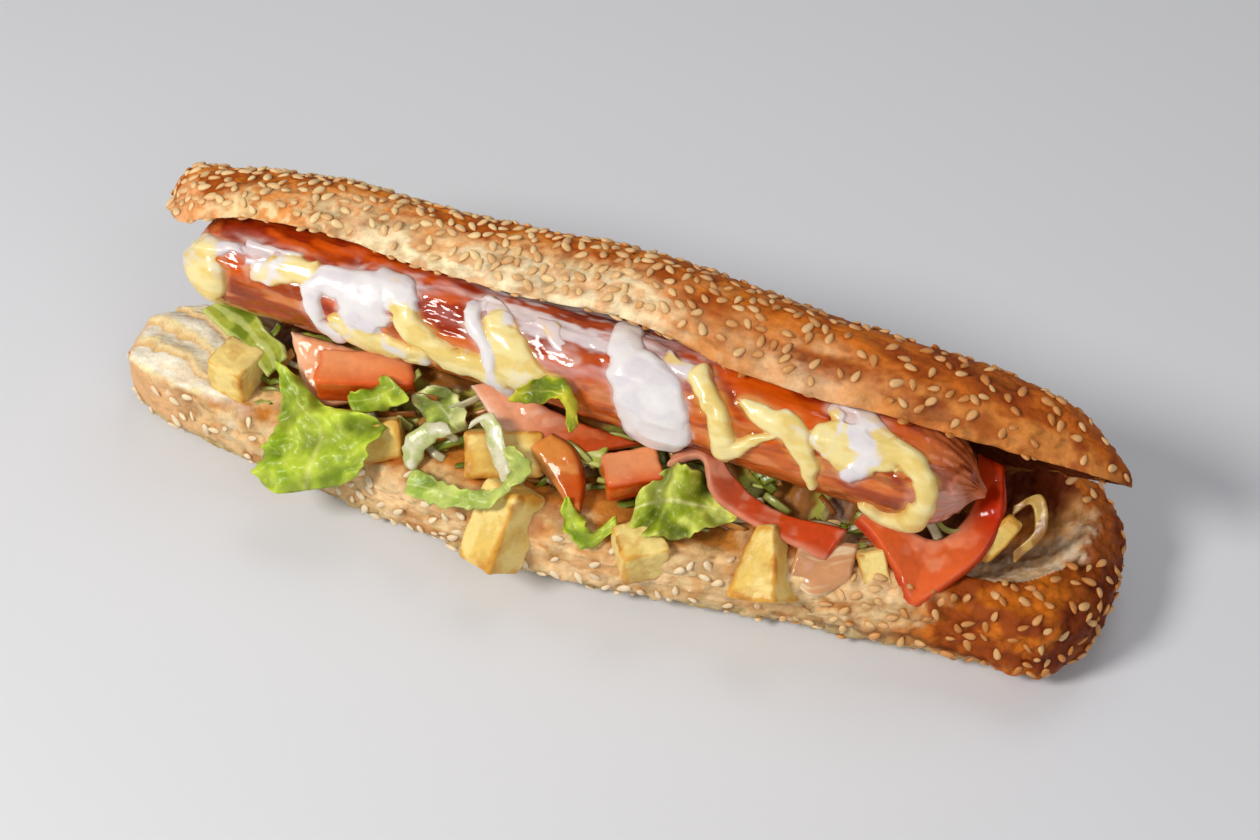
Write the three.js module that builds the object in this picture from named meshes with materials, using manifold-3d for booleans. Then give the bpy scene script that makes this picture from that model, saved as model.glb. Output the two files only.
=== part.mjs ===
// A sesame roll split along one side and filled with a sausage, salad and fried potato.
// Millimetres, Z up. X runs along the roll, and its open side looks towards -Y.

import * as THREE from 'three';
import { mergeVertices } from 'three/addons/utils/BufferGeometryUtils.js';
import Module from 'manifold-3d';

const wasm = await Module();
wasm.setup();

// ---- Driving dimensions ------------------------------------------------------------

const GAP = 0.35; // clearance that a cut piece keeps to its neighbour

// Lower half of the roll, pointed at its left end and blunt at its right end
const heel = {
  left: -137,
  right: 134.5,
  middleY: 5, // its long axis in plan
  frontWidth: 40, // long axis to the front edge
  backWidth: 27,
  height: 24.5, // underside to cut face
  pressed: 1.6, // depth by which the round underside is pressed flat
};

// Upper half, stood up on its back edge
const lid = {
  left: -124.3,
  right: 132.5,
  middle: [0, 13.5, 45.8], // middle of its cut face
  lean: [-8.5, -3.3], // change of Y and Z over half of the length to the right
  opening: 50, // degrees between the cut faces
  halfWidth: 25,
  hollow: 2.2, // depth of the cut face behind its edges
  endSlant: 9, // how far the crown reaches past the cut face at the left end
  bend: [[-130, 2], [-92, 4], [-60, 5], [-30, 3.6], [10, 1.6], [45, 0], [97, -1.8], [133, -1]],
  // Rise of the front rim alone: it droops at the left end and is lifted over the middle
  rim: [
    [-126, -7], [-118, -5.4], [-108, -2.8], [-98, -0.8], [-80, 0], [-45, 0], [-21, 1],
    [-4, 3], [10, 3.6], [22, 2], [34, 0], [133, 0],
  ],
  thickness: [
    [-126, 12.2], [-100, 14.5], [-79, 16.5], [-55, 15.6], [-30, 18],
    [8, 22], [45, 20.4], [97, 19.6], [118, 21.6], [133, 14],
  ],
};

// The uncut back between the halves, and the scooped-out crumb at the blunt right end
const hinge = { left: -104, right: 110, halfThickness: 8, inset: 6, overlap: 4 };
const hollow = { middle: [95, 3, 27], half: [33, 25, 14], turn: -0.12 };

const sausage = {
  left: [-114.5, 11, 50.6],
  right: [97, -8, 42.4],
  radius: 13,
  bow: 1.6, // rise of its middle
  room: 2.2, // space kept round it for the sauce
};

// The open face of the filling starts behind the front rim and leans back
const slope = {
  footY: [[-125, -3], [-98, -15], [-74, -21], [-30, -27.5], [10, -29], [46, -27], [100, -25]],
  footZ: 24,
  run: 0.728,
  rise: 0.685,
};

// lift is how far the middle of a seed stands over the crust
const seed = { length: 3.4, width: 2.2, height: 1.5, lift: 0.22, spacing: 9 };
const crownSeeds = 54;
const heelSeeds = 30;
const seedDraw = 11; // start of the random numbers that place the seeds

const shift = new THREE.Vector3(1.25, 0.75, 0); // puts the origin under the middle of the whole

// ---- Colours -----------------------------------------------------------------------

const finishes = {
  crust: new THREE.MeshStandardMaterial({ color: 0xc98a45, roughness: 0.75, metalness: 0 }),
  sausage: new THREE.MeshStandardMaterial({ color: 0xb5532a, roughness: 0.3, metalness: 0 }),
  tomato: new THREE.MeshStandardMaterial({ color: 0xd9502c, roughness: 0.3, metalness: 0 }),
  lettuce: new THREE.MeshStandardMaterial({ color: 0x9dbb3a, roughness: 0.5, metalness: 0 }),
  cabbage: new THREE.MeshStandardMaterial({ color: 0xe0e0c3, roughness: 0.4, metalness: 0 }),
  potato: new THREE.MeshStandardMaterial({ color: 0xe3b645, roughness: 0.6, metalness: 0 }),
  onion: new THREE.MeshStandardMaterial({ color: 0xe2d3ae, roughness: 0.4, metalness: 0 }),
  salad: new THREE.MeshStandardMaterial({ color: 0x9a7440, roughness: 0.6, metalness: 0 }),
};

// ---- Small tools -------------------------------------------------------------------

const { abs, sin, cos, PI, sqrt } = Math;
const vec = (x, y, z) => new THREE.Vector3(x, y, z);
const mix = THREE.MathUtils.lerp;
const clamp = THREE.MathUtils.clamp;

// Seeded random numbers between 0 and 1
function randomSource(start) {
  let state = start;
  return () => {
    state = (state + 0x6d2b79f5) | 0;
    let t = Math.imul(state ^ (state >>> 15), 1 | state);
    t = (t + Math.imul(t ^ (t >>> 7), 61 | t)) ^ t;
    return ((t ^ (t >>> 14)) >>> 0) / 4294967296;
  };
}

// Value at x of a smooth curve through knots [x, value]
function through(knots, x) {
  const last = knots.length - 1;
  const at = clamp(x, knots[0][0], knots[last][0]);
  const slopeAt = (i) => {
    const [before, after] = [knots[Math.max(0, i - 1)], knots[Math.min(last, i + 1)]];
    return (after[1] - before[1]) / (after[0] - before[0]);
  };
  let i = 0;
  while (i < last - 1 && at > knots[i + 1][0]) i += 1;
  const span = knots[i + 1][0] - knots[i][0];
  const f = (at - knots[i][0]) / span;
  const start = (1 + 2 * f) * (1 - f) ** 2 * knots[i][1] + f * (1 - f) ** 2 * span * slopeAt(i);
  const end = f * f * (3 - 2 * f) * knots[i + 1][1] + f * f * (f - 1) * span * slopeAt(i + 1);
  return start + end;
}

// Height of a superellipse of half-size 1 at distance p from its middle
const bulge = (p, n) => (1 - abs(p) ** n) ** (1 / n);

// Cosine or sine pressed towards a square, for a section with round corners
const squared = (wave, power) => Math.sign(wave) * abs(wave) ** power;

// Closed geometry with merged corners and its faces pointing out
function closed(geometry) {
  geometry.deleteAttribute('normal');
  geometry.deleteAttribute('uv');
  const merged = mergeVertices(geometry, 1e-3);
  const p = merged.attributes.position;
  const corners = merged.index.array;
  const faces = [];
  let volume = 0;
  const [a, b, c] = [vec(), vec(), vec()];
  for (let i = 0; i < corners.length; i += 3) {
    const [j, k, l] = corners.slice(i, i + 3);
    if (j === k || k === l || l === j) continue;
    a.fromBufferAttribute(p, j);
    b.fromBufferAttribute(p, k);
    c.fromBufferAttribute(p, l);
    volume += a.dot(b.cross(c));
    faces.push([j, k, l]);
  }
  if (volume < 0) faces.forEach((face) => face.reverse());
  merged.setIndex(faces.flat());
  return merged;
}

function toSolid(geometry) {
  const merged = closed(geometry);
  const vertProperties = new Float32Array(merged.attributes.position.array);
  const triVerts = new Uint32Array(merged.index.array);
  return new wasm.Manifold(new wasm.Mesh({ numProp: 3, vertProperties, triVerts }));
}

function toGeometry(solid) {
  const mesh = solid.getMesh();
  const geometry = new THREE.BufferGeometry();
  geometry.setAttribute('position', new THREE.BufferAttribute(mesh.vertProperties, 3));
  geometry.setIndex(new THREE.BufferAttribute(mesh.triVerts, 1));
  return geometry;
}

// The same solid with every face moved out by a distance, for cutting a clearance
function grown(solid, distance) {
  const geometry = toGeometry(solid);
  const p = geometry.attributes.position;
  const corners = geometry.index.array;
  const normals = Array.from({ length: p.count }, () => []);
  const [a, b, c] = [vec(), vec(), vec()];
  for (let i = 0; i < corners.length; i += 3) {
    a.fromBufferAttribute(p, corners[i]);
    b.fromBufferAttribute(p, corners[i + 1]).sub(a);
    c.fromBufferAttribute(p, corners[i + 2]).sub(a);
    const n = b.clone().cross(c);
    if (n.length() < 1e-9) continue;
    n.normalize();
    for (let k = 0; k < 3; k += 1) normals[corners[i + k]].push(n);
  }
  normals.forEach((around, i) => {
    const n = around.reduce((sum, each) => sum.add(each), vec()).normalize();
    const least = Math.min(1, ...around.map((each) => each.dot(n)));
    const reach = distance / Math.max(0.4, least);
    p.setXYZ(i, p.getX(i) + n.x * reach, p.getY(i) + n.y * reach, p.getZ(i) + n.z * reach);
  });
  return toSolid(geometry);
}

function largest(solid) {
  return solid.decompose().sort((a, b) => b.volume() - a.volume())[0];
}

// A sphere's grid wrapped on point(along, around), both from 0 to 1
function wrapped(alongSteps, aroundSteps, point) {
  const geometry = new THREE.SphereGeometry(1, aroundSteps, alongSteps);
  const { position, uv } = geometry.attributes;
  for (let i = 0; i < position.count; i += 1) {
    const along = 1 - uv.getY(i);
    const pole = along < 1e-6 || along > 1 - 1e-6;
    const place = point(along, pole ? 0 : uv.getX(i) % 1);
    position.setXYZ(i, place.x, place.y, place.z);
  }
  return geometry;
}

// A flat box's grid bent on middle(u, v), u and v from 0 to 1, with its thickness across
function sheet(uSteps, vSteps, thickness, middle) {
  const geometry = new THREE.BoxGeometry(1, 1, 1, uSteps, vSteps, 1);
  const { position } = geometry.attributes;
  const step = 0.01;
  for (let i = 0; i < position.count; i += 1) {
    const u = position.getX(i) + 0.5;
    const v = position.getY(i) + 0.5;
    const side = position.getZ(i);
    const du = middle(Math.min(u + step, 1), v).sub(middle(Math.max(u - step, 0), v));
    const dv = middle(u, Math.min(v + step, 1)).sub(middle(u, Math.max(v - step, 0)));
    const place = middle(u, v).addScaledVector(du.cross(dv).normalize(), side * thickness);
    position.setXYZ(i, place.x, place.y, place.z);
  }
  return geometry;
}

// ---- Roll --------------------------------------------------------------------------

const heelX = (s) => mix(heel.left, heel.right, (s + 1) / 2);
const heelS = (x) => clamp((2 * (x - heel.left)) / (heel.right - heel.left) - 1, -1, 1);

// Width of the lower half at s, from -1 at the left tip to 1 at the blunt right end
function planTaper(s, bluntness) {
  return s < 0 ? (1 - 0.64 * (-s) ** 1.3) * sqrt(1 - s ** 20) : sqrt(1 - s ** bluntness);
}

const frontSlimness = [[-1, 1], [0.05, 1], [0.5, 0.91], [0.76, 0.9], [0.9, 1.01], [1, 0.98]];

function frontEdge(x) {
  const s = heelS(x);
  return heel.middleY - heel.frontWidth * planTaper(s, 16) * through(frontSlimness, s);
}

const backEdge = (x) => heel.middleY + heel.backWidth * planTaper(heelS(x), 9);

function heelPoint(along, around) {
  const s = -cos(PI * along);
  const x = heelX(s);
  const p = cos(2 * PI * around);
  const top = around < 0.5;
  const reach = p < 0 ? heel.middleY - frontEdge(x) : backEdge(x) - heel.middleY;
  const tall = (1 - abs(s) ** 14) ** 0.4;
  const half = (heel.height + heel.pressed) / 2;
  const rise = top ? bulge(p, 7) : -bulge(p, 3);
  const crumb = top ? 0.7 * sin(x / 5.1) * sin(p * 9) + 1.5 * (p + 1) * (1 - p * p) : 0;
  const z = half - heel.pressed + (half * rise + crumb) * tall;
  return vec(x, heel.middleY + p * reach, Math.max(0, z));
}

// The space taken out of the blunt end: a shallow bowl below its middle
function scoop() {
  const geometry = new THREE.SphereGeometry(1, 20, 12);
  const { position } = geometry.attributes;
  for (let i = 0; i < position.count; i += 1) {
    const z = position.getZ(i);
    position.setZ(i, z * abs(z) ** 0.7);
  }
  geometry.scale(...hollow.half);
  geometry.rotateZ(hollow.turn);
  geometry.translate(...hollow.middle);
  return toSolid(geometry);
}

// Middle of the lid's cut face at x, with the directions across it and out of its crust
function lidFrame(x) {
  const open = THREE.MathUtils.degToRad(lid.opening);
  const out = vec(0, sin(open), cos(open));
  const across = vec(0, -cos(open), sin(open));
  const [, y, z] = lid.middle;
  const lean = x / lid.right;
  const middle = vec(x, y + lid.lean[0] * lean, z + lid.lean[1] * lean);
  middle.addScaledVector(out, through(lid.bend, x));
  return { middle, across, out };
}

const lidTaper = (s) => (s < 0 ? (1 - abs(s) ** 18) ** 0.45 : (1 - s ** 3.4) ** 0.6);

function lidPoint(along, around) {
  const s = -cos(PI * along);
  const x = mix(lid.left, lid.right, (s + 1) / 2);
  const { middle, across, out } = lidFrame(x);
  const p = cos(2 * PI * around);
  const taper = lidTaper(s);
  const ragged = 0.7 * sin(x / 3.3) * sin(x / 7.7 + 1) * Math.max(0, p) ** 4;
  const width = (lid.halfWidth + ragged) * taper;
  const height = through(lid.thickness, x) * Math.min(1, taper * 1.25);
  const rim = through(lid.rim, x) * Math.max(0, p) ** 3 * Math.min(1, taper * 1.25);
  const crown = around < 0.5 ? bulge(p, 2.3) : 0;
  const rise = around < 0.5 ? height * crown : lid.hollow * taper * (1 - p ** 4);
  middle.x += lid.endSlant * (0.5 - crown) * Math.max(0, -s) ** 10;
  return middle.addScaledVector(across, p * width).addScaledVector(out, rise + rim);
}

// A slab from inside the back of the lower half to inside the back of the lid
function hingePoint(along, around) {
  const x = mix(hinge.left, hinge.right, along);
  const low = vec(x, backEdge(x) - hinge.inset, heel.height - hinge.inset);
  const { middle, across, out } = lidFrame(x);
  const inside = lid.halfWidth - hinge.overlap;
  const high = middle.addScaledVector(across, -inside).addScaledVector(out, hinge.inset);
  const reach = high.clone().sub(low);
  const length = reach.length() / 2 + hinge.overlap;
  reach.normalize();
  const side = vec(0, reach.z, -reach.y);
  const round = (1 - abs(2 * along - 1) ** 8) ** 0.5;
  const turn = 2 * PI * around;
  return low.add(high).multiplyScalar(0.5)
    .addScaledVector(reach, length * cos(turn) * round)
    .addScaledVector(side, hinge.halfThickness * sin(turn) * round);
}

const heelGrid = [28, 20, heelPoint];
const lidGrid = [28, 16, lidPoint];

function rollSolid(sausageCutter) {
  const lower = toSolid(wrapped(...heelGrid)).subtract(scoop());
  const upper = toSolid(wrapped(...lidGrid));
  const back = toSolid(wrapped(12, 8, hingePoint));
  return largest(lower.add(upper).add(back).subtract(sausageCutter));
}

// ---- Seeds -------------------------------------------------------------------------

// One seed, pointed at one end, lying flat at a place on the crust
function seedSolid(place, outward, turn) {
  const geometry = new THREE.IcosahedronGeometry(1, 0);
  const { position } = geometry.attributes;
  for (let i = 0; i < position.count; i += 1) {
    const x = position.getX(i);
    const slim = 1 - 0.3 * x;
    position.setX(i, (x * seed.length) / 2);
    position.setY(i, (position.getY(i) * slim * seed.width) / 2);
    position.setZ(i, (position.getZ(i) * slim * seed.height) / 2);
  }
  geometry.rotateZ(turn);
  geometry.applyQuaternion(new THREE.Quaternion().setFromUnitVectors(vec(0, 0, 1), outward));
  geometry.translate(...place.addScaledVector(outward, seed.lift).toArray());
  return toSolid(geometry);
}

// Place and outward direction on the flat faces that a wrapped grid gives a point function
function onFaces([alongSteps, aroundSteps, point], along, around, inside) {
  const row = Math.floor(along * alongSteps);
  const column = Math.floor(around * aroundSteps);
  const corner = (i, j) => point((row + i) / alongSteps, ((column + j) % aroundSteps) / aroundSteps);
  const near = corner(0, 0).lerp(corner(0, 1), around * aroundSteps - column);
  const far = corner(1, 0).lerp(corner(1, 1), around * aroundSteps - column);
  const place = near.clone().lerp(far, along * alongSteps - row);
  const outward = corner(0, 1).sub(corner(0, 0)).cross(far.sub(near)).normalize();
  if (outward.dot(place.clone().sub(inside)) < 0) outward.negate();
  return { place, outward };
}

// Seeds by darts: each one keeps its distance to those before it
function scatter(random, count, draw) {
  const kept = [];
  for (let tries = 0; tries < 4000 && kept.length < count; tries += 1) {
    const dart = draw(random);
    if (!dart) continue;
    if (kept.some((other) => other.place.distanceTo(dart.place) < seed.spacing)) continue;
    dart.turn = random() * PI;
    kept.push(dart);
  }
  return kept;
}

function crownDart(random) {
  const along = mix(0.05, 0.95, random());
  const around = mix(0.03, 0.42, random());
  const { middle } = lidFrame(lidPoint(along, around).x);
  return onFaces(lidGrid, along, around, middle);
}

// Places along the front where pieces of the filling hang over the rim
const overhangs = [[-92, -48], [-30, 4], [8, 32], [40, 64]];

function heelDart(random) {
  const along = mix(0.06, 0.94, random());
  const around = mix(0.5, 0.99, random());
  const { x } = heelPoint(along, around);
  const dart = onFaces(heelGrid, along, around, vec(x * 0.97, heel.middleY, heel.height / 2));
  const front = dart.place.y < heel.middleY;
  const covered = front && overhangs.some(([from, to]) => x > from && x < to);
  return covered || dart.place.z < 4 ? null : dart;
}

function addSeeds(solid) {
  const random = randomSource(seedDraw);
  const seeds = [
    ...scatter(random, crownSeeds, crownDart),
    ...scatter(random, heelSeeds, heelDart),
  ];
  return seeds.reduce((whole, s) => whole.add(seedSolid(s.place, s.outward, s.turn)), solid);
}

// ---- Sausage -----------------------------------------------------------------------

function sausageAxis(f) {
  const point = vec(...sausage.left).lerp(vec(...sausage.right), f);
  point.z += sausage.bow * 4 * f * (1 - f);
  return point;
}

const sausageDirection = vec(...sausage.right).sub(vec(...sausage.left)).normalize();
const sausageUp = vec(0, 0, 1).addScaledVector(sausageDirection, -sausageDirection.z).normalize();
const sausageFront = sausageUp.clone().cross(sausageDirection).negate();

// Point at a height over the skin; around is 0 at the top and grows towards the open side
function onSausage(f, around, height) {
  const turn = 2 * PI * around;
  const radius = sausage.radius + height;
  return sausageAxis(f)
    .addScaledVector(sausageUp, cos(turn) * radius)
    .addScaledVector(sausageFront, sin(turn) * radius);
}

const sausageLength = vec(...sausage.right).distanceTo(vec(...sausage.left));

// Skin radius at f: round left end, right end gathered to a small knot
function skinRadius(f, around) {
  const fromLeft = (f * sausageLength) / sausage.radius;
  const fromRight = ((1 - f) * sausageLength) / (1.2 * sausage.radius);
  const leftRound = fromLeft < 1 ? sqrt(1 - (1 - fromLeft) ** 2) : 1;
  const rightRound = fromRight < 1 ? (1 - (1 - fromRight) ** 2.2) ** 0.62 : 1;
  const gather = fromRight < 1 ? 0.06 * (1 - fromRight) * sin(14 * PI * around) : 0;
  return sausage.radius * leftRound * rightRound * (1 + gather);
}

function sausagePoint(along, around) {
  const f = (1 - cos(PI * along)) / 2;
  return onSausage(f, around, skinRadius(f, around) - sausage.radius);
}

const sausageGrid = [18, 14, sausagePoint];

// A thick line of sauce over the skin through stops [f, around], flattened
function sauceLine({ stops, width, height }) {
  const path = new THREE.CatmullRomCurve3(stops.map(([f, around]) => vec(f, around, 0)));
  const girth = 2 * PI * sausage.radius;
  const point = (along, turn) => {
    const at = path.getPoint(along);
    const flow = path.getPoint(Math.min(1, along + 0.02)).sub(path.getPoint(Math.max(0, along - 0.02)));
    flow.set(flow.x * sausageLength, flow.y * girth, 0).normalize();
    const round = (1 - abs(2 * along - 1) ** 5) ** 0.4;
    const reach = (cos(2 * PI * turn) * width * round) / 2;
    const swell = sin(2 * PI * turn) * round;
    const f = clamp(at.x - (flow.y * reach) / sausageLength, 0, 1);
    const around = at.y + (flow.x * reach) / girth;
    const lift = height * (swell > 0 ? swell : 2 * swell);
    return onSausage(f, around, skinRadius(f, around) - sausage.radius + lift);
  };
  return toSolid(wrapped(7, 5, point));
}

// The dab of sauce over the round left end
function sauceCap() {
  const geometry = new THREE.SphereGeometry(1, 8, 6);
  geometry.scale(4.5, 9.5, 11.5);
  const place = sausageAxis(0.026).addScaledVector(sausageFront, 4).addScaledVector(sausageUp, 1);
  geometry.translate(...place.toArray());
  return toSolid(geometry);
}

const sauces = [
  { stops: [[0.1, 0.02], [0.14, 0.08], [0.19, 0.12]], width: 9, height: 1.2 },
  { stops: [[0.15, 0.12], [0.2, 0.2], [0.27, 0.3]], width: 17, height: 1.6 },
  { stops: [[0.28, 0.04], [0.31, 0.16], [0.37, 0.28]], width: 8, height: 2 },
  { stops: [[0.37, 0.04], [0.4, 0.14], [0.43, 0.29]], width: 16, height: 1.6 },
  { stops: [[0.48, 0.04], [0.52, 0.16], [0.55, 0.31]], width: 17, height: 2 },
  { stops: [[0.6, 0.04], [0.63, 0.2], [0.68, 0.26]], width: 8, height: 2 },
  { stops: [[0.69, 0.02], [0.74, 0.12], [0.77, 0.27]], width: 7, height: 2 },
  { stops: [[0.79, 0.06], [0.84, 0.1], [0.88, 0.16]], width: 15, height: 1.6 },
  { stops: [[0.89, 0.12], [0.93, 0.2], [0.925, 0.28], [0.88, 0.31]], width: 8, height: 2.2 },
];

function sausageSolid() {
  const skin = toSolid(wrapped(...sausageGrid)).add(sauceCap());
  return largest(sauces.reduce((whole, sauce) => whole.add(sauceLine(sauce)), skin));
}

// ---- Filling -----------------------------------------------------------------------

// Place on the open face: a along the roll, b up the slope from the rim, h out of it
function onSlope([a, b, h]) {
  const y = through(slope.footY, a) + slope.run * b - slope.rise * h;
  return vec(a, y, slope.footZ + slope.rise * b + slope.run * h);
}

// A slice or leaf between two edges, each a curve through places on the slope
function slice({ edges, steps, thickness, wave = 0, waves = 0, curl = 0 }) {
  const [one, other] = edges.map((edge) => new THREE.CatmullRomCurve3(edge.map(onSlope)));
  const outward = vec(0, -slope.rise, slope.run);
  const middle = (u, v) => {
    const place = one.getPoint(u).lerp(other.getPoint(u), v);
    const frill = wave * sin(2 * PI * waves * u + 2 * v) * (0.3 + 0.7 * v * v);
    return place.addScaledVector(outward, frill + curl * 4 * v * (1 - v));
  };
  return toSolid(sheet(steps[0], steps[1], thickness, middle));
}

// A fried chunk of potato with worn edges
function chunk(centre, size, turns, { steps = 3, narrow = 0 } = {}) {
  const geometry = new THREE.BoxGeometry(2, 2, 2, steps, steps, steps);
  const { position } = geometry.attributes;
  const place = vec();
  for (let i = 0; i < position.count; i += 1) {
    place.fromBufferAttribute(position, i);
    const worn = (abs(place.x) ** 7 + abs(place.y) ** 7 + abs(place.z) ** 7) ** (-1 / 7);
    const dent = 1 + 0.05 * sin(place.x * 3 + centre[0]) * sin(place.y * 4 + centre[1]);
    place.multiplyScalar(worn * dent);
    const slim = 1 - narrow * place.y;
    position.setXYZ(
      i,
      (place.x * slim * size[0]) / 2,
      (place.y * size[1]) / 2,
      (place.z * slim * size[2]) / 2,
    );
  }
  geometry.rotateZ(turns[2]);
  geometry.rotateY(turns[1]);
  geometry.rotateX(turns[0]);
  geometry.rotateX(Math.atan2(slope.rise, slope.run));
  geometry.translate(...onSlope(centre).toArray());
  return toSolid(geometry);
}

const potatoes = {
  potato_left: [[-98, 6.8, -1], [11.5, 11.5, 13.5], [-0.68, 0.06, -0.25]],
  potato_behind_leaf: [[-53.5, 5, -3], [11, 10.5, 9], [0.2, 0.2, 0.3], { steps: 2 }],
  potato_upper: [[-20.5, 11, -4.5], [20, 12, 10], [0.1, 0.2, 0.2], { steps: 2 }],
  potato_hanging: [[-15.8, -6.8, 0.6], [12.5, 22, 12], [0.1, -0.5, -0.22]],
  potato_front: [[19.8, -5, 0.5], [12, 11.5, 11.5], [-0.66, 0.05, 0.6]],
  potato_wedge: [[51, -2.2, 0.5], [10, 18.5, 10], [0.1, -0.35, 0.12], { narrow: 0.5 }],
  potato_sliver: [[77, 1, -2.5], [7, 11, 8], [0.2, 0.1, 0.4], { steps: 2 }],
  potato_right: [[104, 14.5, -5], [5, 13, 7], [0.1, 0.2, -0.55], { steps: 2 }],
};

const tomatoBlocks = {
  tomato_block: [[-61.5, 19, -2], [25, 10.5, 9.5], [-0.5, 0.1, 0.28]],
  tomato_corner: [[13.5, 13.5, -1], [14, 9.5, 9], [-0.5, 0.1, 0.5], { steps: 2 }],
};

// Slices, leaves and shreds, each from its lower edge to its upper edge
const slices = {
  tomato_wedge: {
    edges: [
      [[-14, 14, -2], [-9, 9, -1], [-3.5, 5, 0], [0.4, 0.8, 0.5]],
      [[-9, 19, -3], [-2, 16.5, -1.5], [2.5, 9, -0.5], [3.2, 1.2, 0]],
    ],
    steps: [5, 2],
    thickness: 5,
  },
  tomato_pale_slice: {
    edges: [
      [[-86, 23, -4], [-81, 14, -4], [-75, 5.5, -3.5]],
      [[-60, 25, -5], [-59, 20, -4], [-58, 14, -3.5]],
    ],
    steps: [4, 4],
    thickness: 4.5,
  },
  tomato_long_slice: {
    edges: [
      [[-33, 25, -3], [-20, 15, -2.5], [-8, 12, -2.5]],
      [[-28, 28, -4.5], [-8, 24, -6], [14, 21, -6]],
    ],
    steps: [6, 3],
    thickness: 3.4,
  },
  tomato_curl: {
    edges: [
      [[22, 17, 1], [30, 20, 2], [34, 13, 2], [42, 7, 1.5], [54, 4, 1], [65, 0.5, 1]],
      [[22.5, 19, 0], [31, 23.5, 0], [38, 17, -1], [46, 12, -2], [57, 9.5, -2], [69, 10, -1]],
    ],
    steps: [12, 2],
    thickness: 2.6,
  },
  tomato_folded_slice: {
    edges: [
      [
        [70, 12, 0.2], [76, 7.5, 0.8], [82, 1.2, 1.2], [87.5, -6, 1.5],
        [95, 0.5, 0.8], [102, 9.7, -0.5], [104.5, 20, -2.5], [102, 32, -6],
      ],
      [
        [71, 14, -2.5], [77, 13, -3], [83, 12, -3.5], [88.5, 11, -4],
        [92, 12, -4.5], [96, 18.3, -5], [97, 25, -6.5], [95, 34, -8.5],
      ],
    ],
    steps: [12, 3],
    thickness: 3.6,
  },
  lettuce_rib: {
    edges: [
      [[-114, 16, -1], [-104, 14, 0], [-95, 12, 0.5], [-88, 9, 1.5]],
      [[-108, 22, -3], [-98, 23, -3], [-89, 20, -2], [-84, 16, -0.5]],
    ],
    steps: [8, 3],
    thickness: 1,
    wave: 0.8,
    waves: 2,
  },
  lettuce_big_leaf: {
    edges: [
      [[-87, 15, 1.5], [-82, 5, 2.5], [-81, -4, 4.5], [-82, -12, 5.5], [-79, -19, 5]],
      [[-81, 14, 1.5], [-70, 8.5, 3], [-55, 9, 4], [-53, 1, 5.5], [-56, -8, 5.5]],
    ],
    steps: [10, 7],
    thickness: 1,
    wave: 1.6,
    waves: 2.6,
    curl: 1.2,
  },
  lettuce_curl: {
    edges: [
      [[-64, 13, 3], [-58, 16, 3.5], [-53, 21, 2.5]],
      [[-62, 10, 2], [-54, 13, 2.5], [-47, 18, 2]],
    ],
    steps: [6, 3],
    thickness: 1,
    wave: 0.8,
    waves: 1.3,
  },
  lettuce_pale_bits: {
    edges: [
      [[-49, 18, -3], [-42, 14, -1.5], [-36, 11, -1.5]],
      [[-42, 23, -4], [-35, 20, -3], [-30, 15, -2]],
    ],
    steps: [7, 4],
    thickness: 1.2,
    wave: 1.6,
    waves: 2.4,
  },
  cabbage_shred_left: {
    edges: [
      [[-45, 1, 0], [-43, 7, 0.8], [-38, 14, 0]],
      [[-40, -0.5, 0], [-37, 6, 0.8], [-34, 13, 0]],
    ],
    steps: [5, 2],
    thickness: 1.4,
    curl: 0.8,
  },
  cabbage_shred_right: {
    edges: [
      [[-27, 18, 3], [-22, 10, 3.5], [-17, 3, 3]],
      [[-24, 20, 3], [-18, 13, 3.8], [-12, 5, 3]],
    ],
    steps: [6, 2],
    thickness: 1.4,
    curl: 0.8,
  },
  lettuce_band: {
    edges: [
      [[-43, -6.5, 2.5], [-33, -6, 5], [-22, -4.5, 9.5], [-13, 1.5, 11], [-10, 9, 8.5], [-15, 14, 5]],
      [[-42, 0, 2.5], [-32, 1, 5], [-23, 1.5, 9.5], [-16, 4.5, 11], [-15, 9, 8.5], [-19, 13, 5]],
    ],
    steps: [13, 2],
    thickness: 1,
    wave: 0.7,
    waves: 3.4,
  },
  lettuce_front_frill: {
    edges: [
      [[-3, 3, 3], [1, -4, 4], [7, -6, 4], [14, -1, 2.5]],
      [[2, 6, 1], [5, 0, 2], [8, -1, 2], [12, 4, 1]],
    ],
    steps: [9, 2],
    thickness: 1,
    wave: 0.9,
    waves: 2.2,
  },
  lettuce_hook: {
    edges: [
      [[-20, 24.5, 4], [-13, 26, 8], [-6, 26, 9], [-3, 19, 4]],
      [[-17, 28, 8], [-12, 31, 10.5], [-4, 31, 11], [0, 24, 7]],
    ],
    steps: [8, 3],
    thickness: 1,
    wave: 0.8,
    waves: 1.5,
  },
  lettuce_white_rib: {
    edges: [
      [[-1, 13, -3], [5, 13, -3]],
      [[-1, 19, -4], [6, 19, -4]],
    ],
    steps: [3, 2],
    thickness: 1.6,
  },
  lettuce_ruffle: {
    edges: [
      [[16, -4, 2.5], [24, 0, 4.5], [33, 2, 3.5], [44, 7, 1]],
      [[17, 13, 1.5], [25, 17, 3], [33, 17, 0.5], [40, 13, -1.5]],
    ],
    steps: [11, 4],
    thickness: 1,
    wave: 1.8,
    waves: 2.8,
  },
  onion_piece: {
    edges: [
      [[57, -5, 0.5], [64, -8, 0.5], [72, -2, 0.5]],
      [[58, 5.5, -2], [65, 6, -3], [72, 6, -2.5]],
    ],
    steps: [3, 3],
    thickness: 2.6,
    curl: 2,
  },
  cabbage_shreds_right: {
    edges: [
      [[106, 20, -7], [110, 24, -6], [112, 18, -6], [108, 12, -7]],
      [[106, 23, -7], [112, 27, -6], [115, 19, -6], [109, 9, -7]],
    ],
    steps: [8, 2],
    thickness: 1.2,
    wave: 0.5,
    waves: 1.5,
  },
};

// The bed of finer salad under the larger pieces
const bed = { left: -104, right: 99, middle: [10, -18], half: [18, 10.5] };

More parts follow.
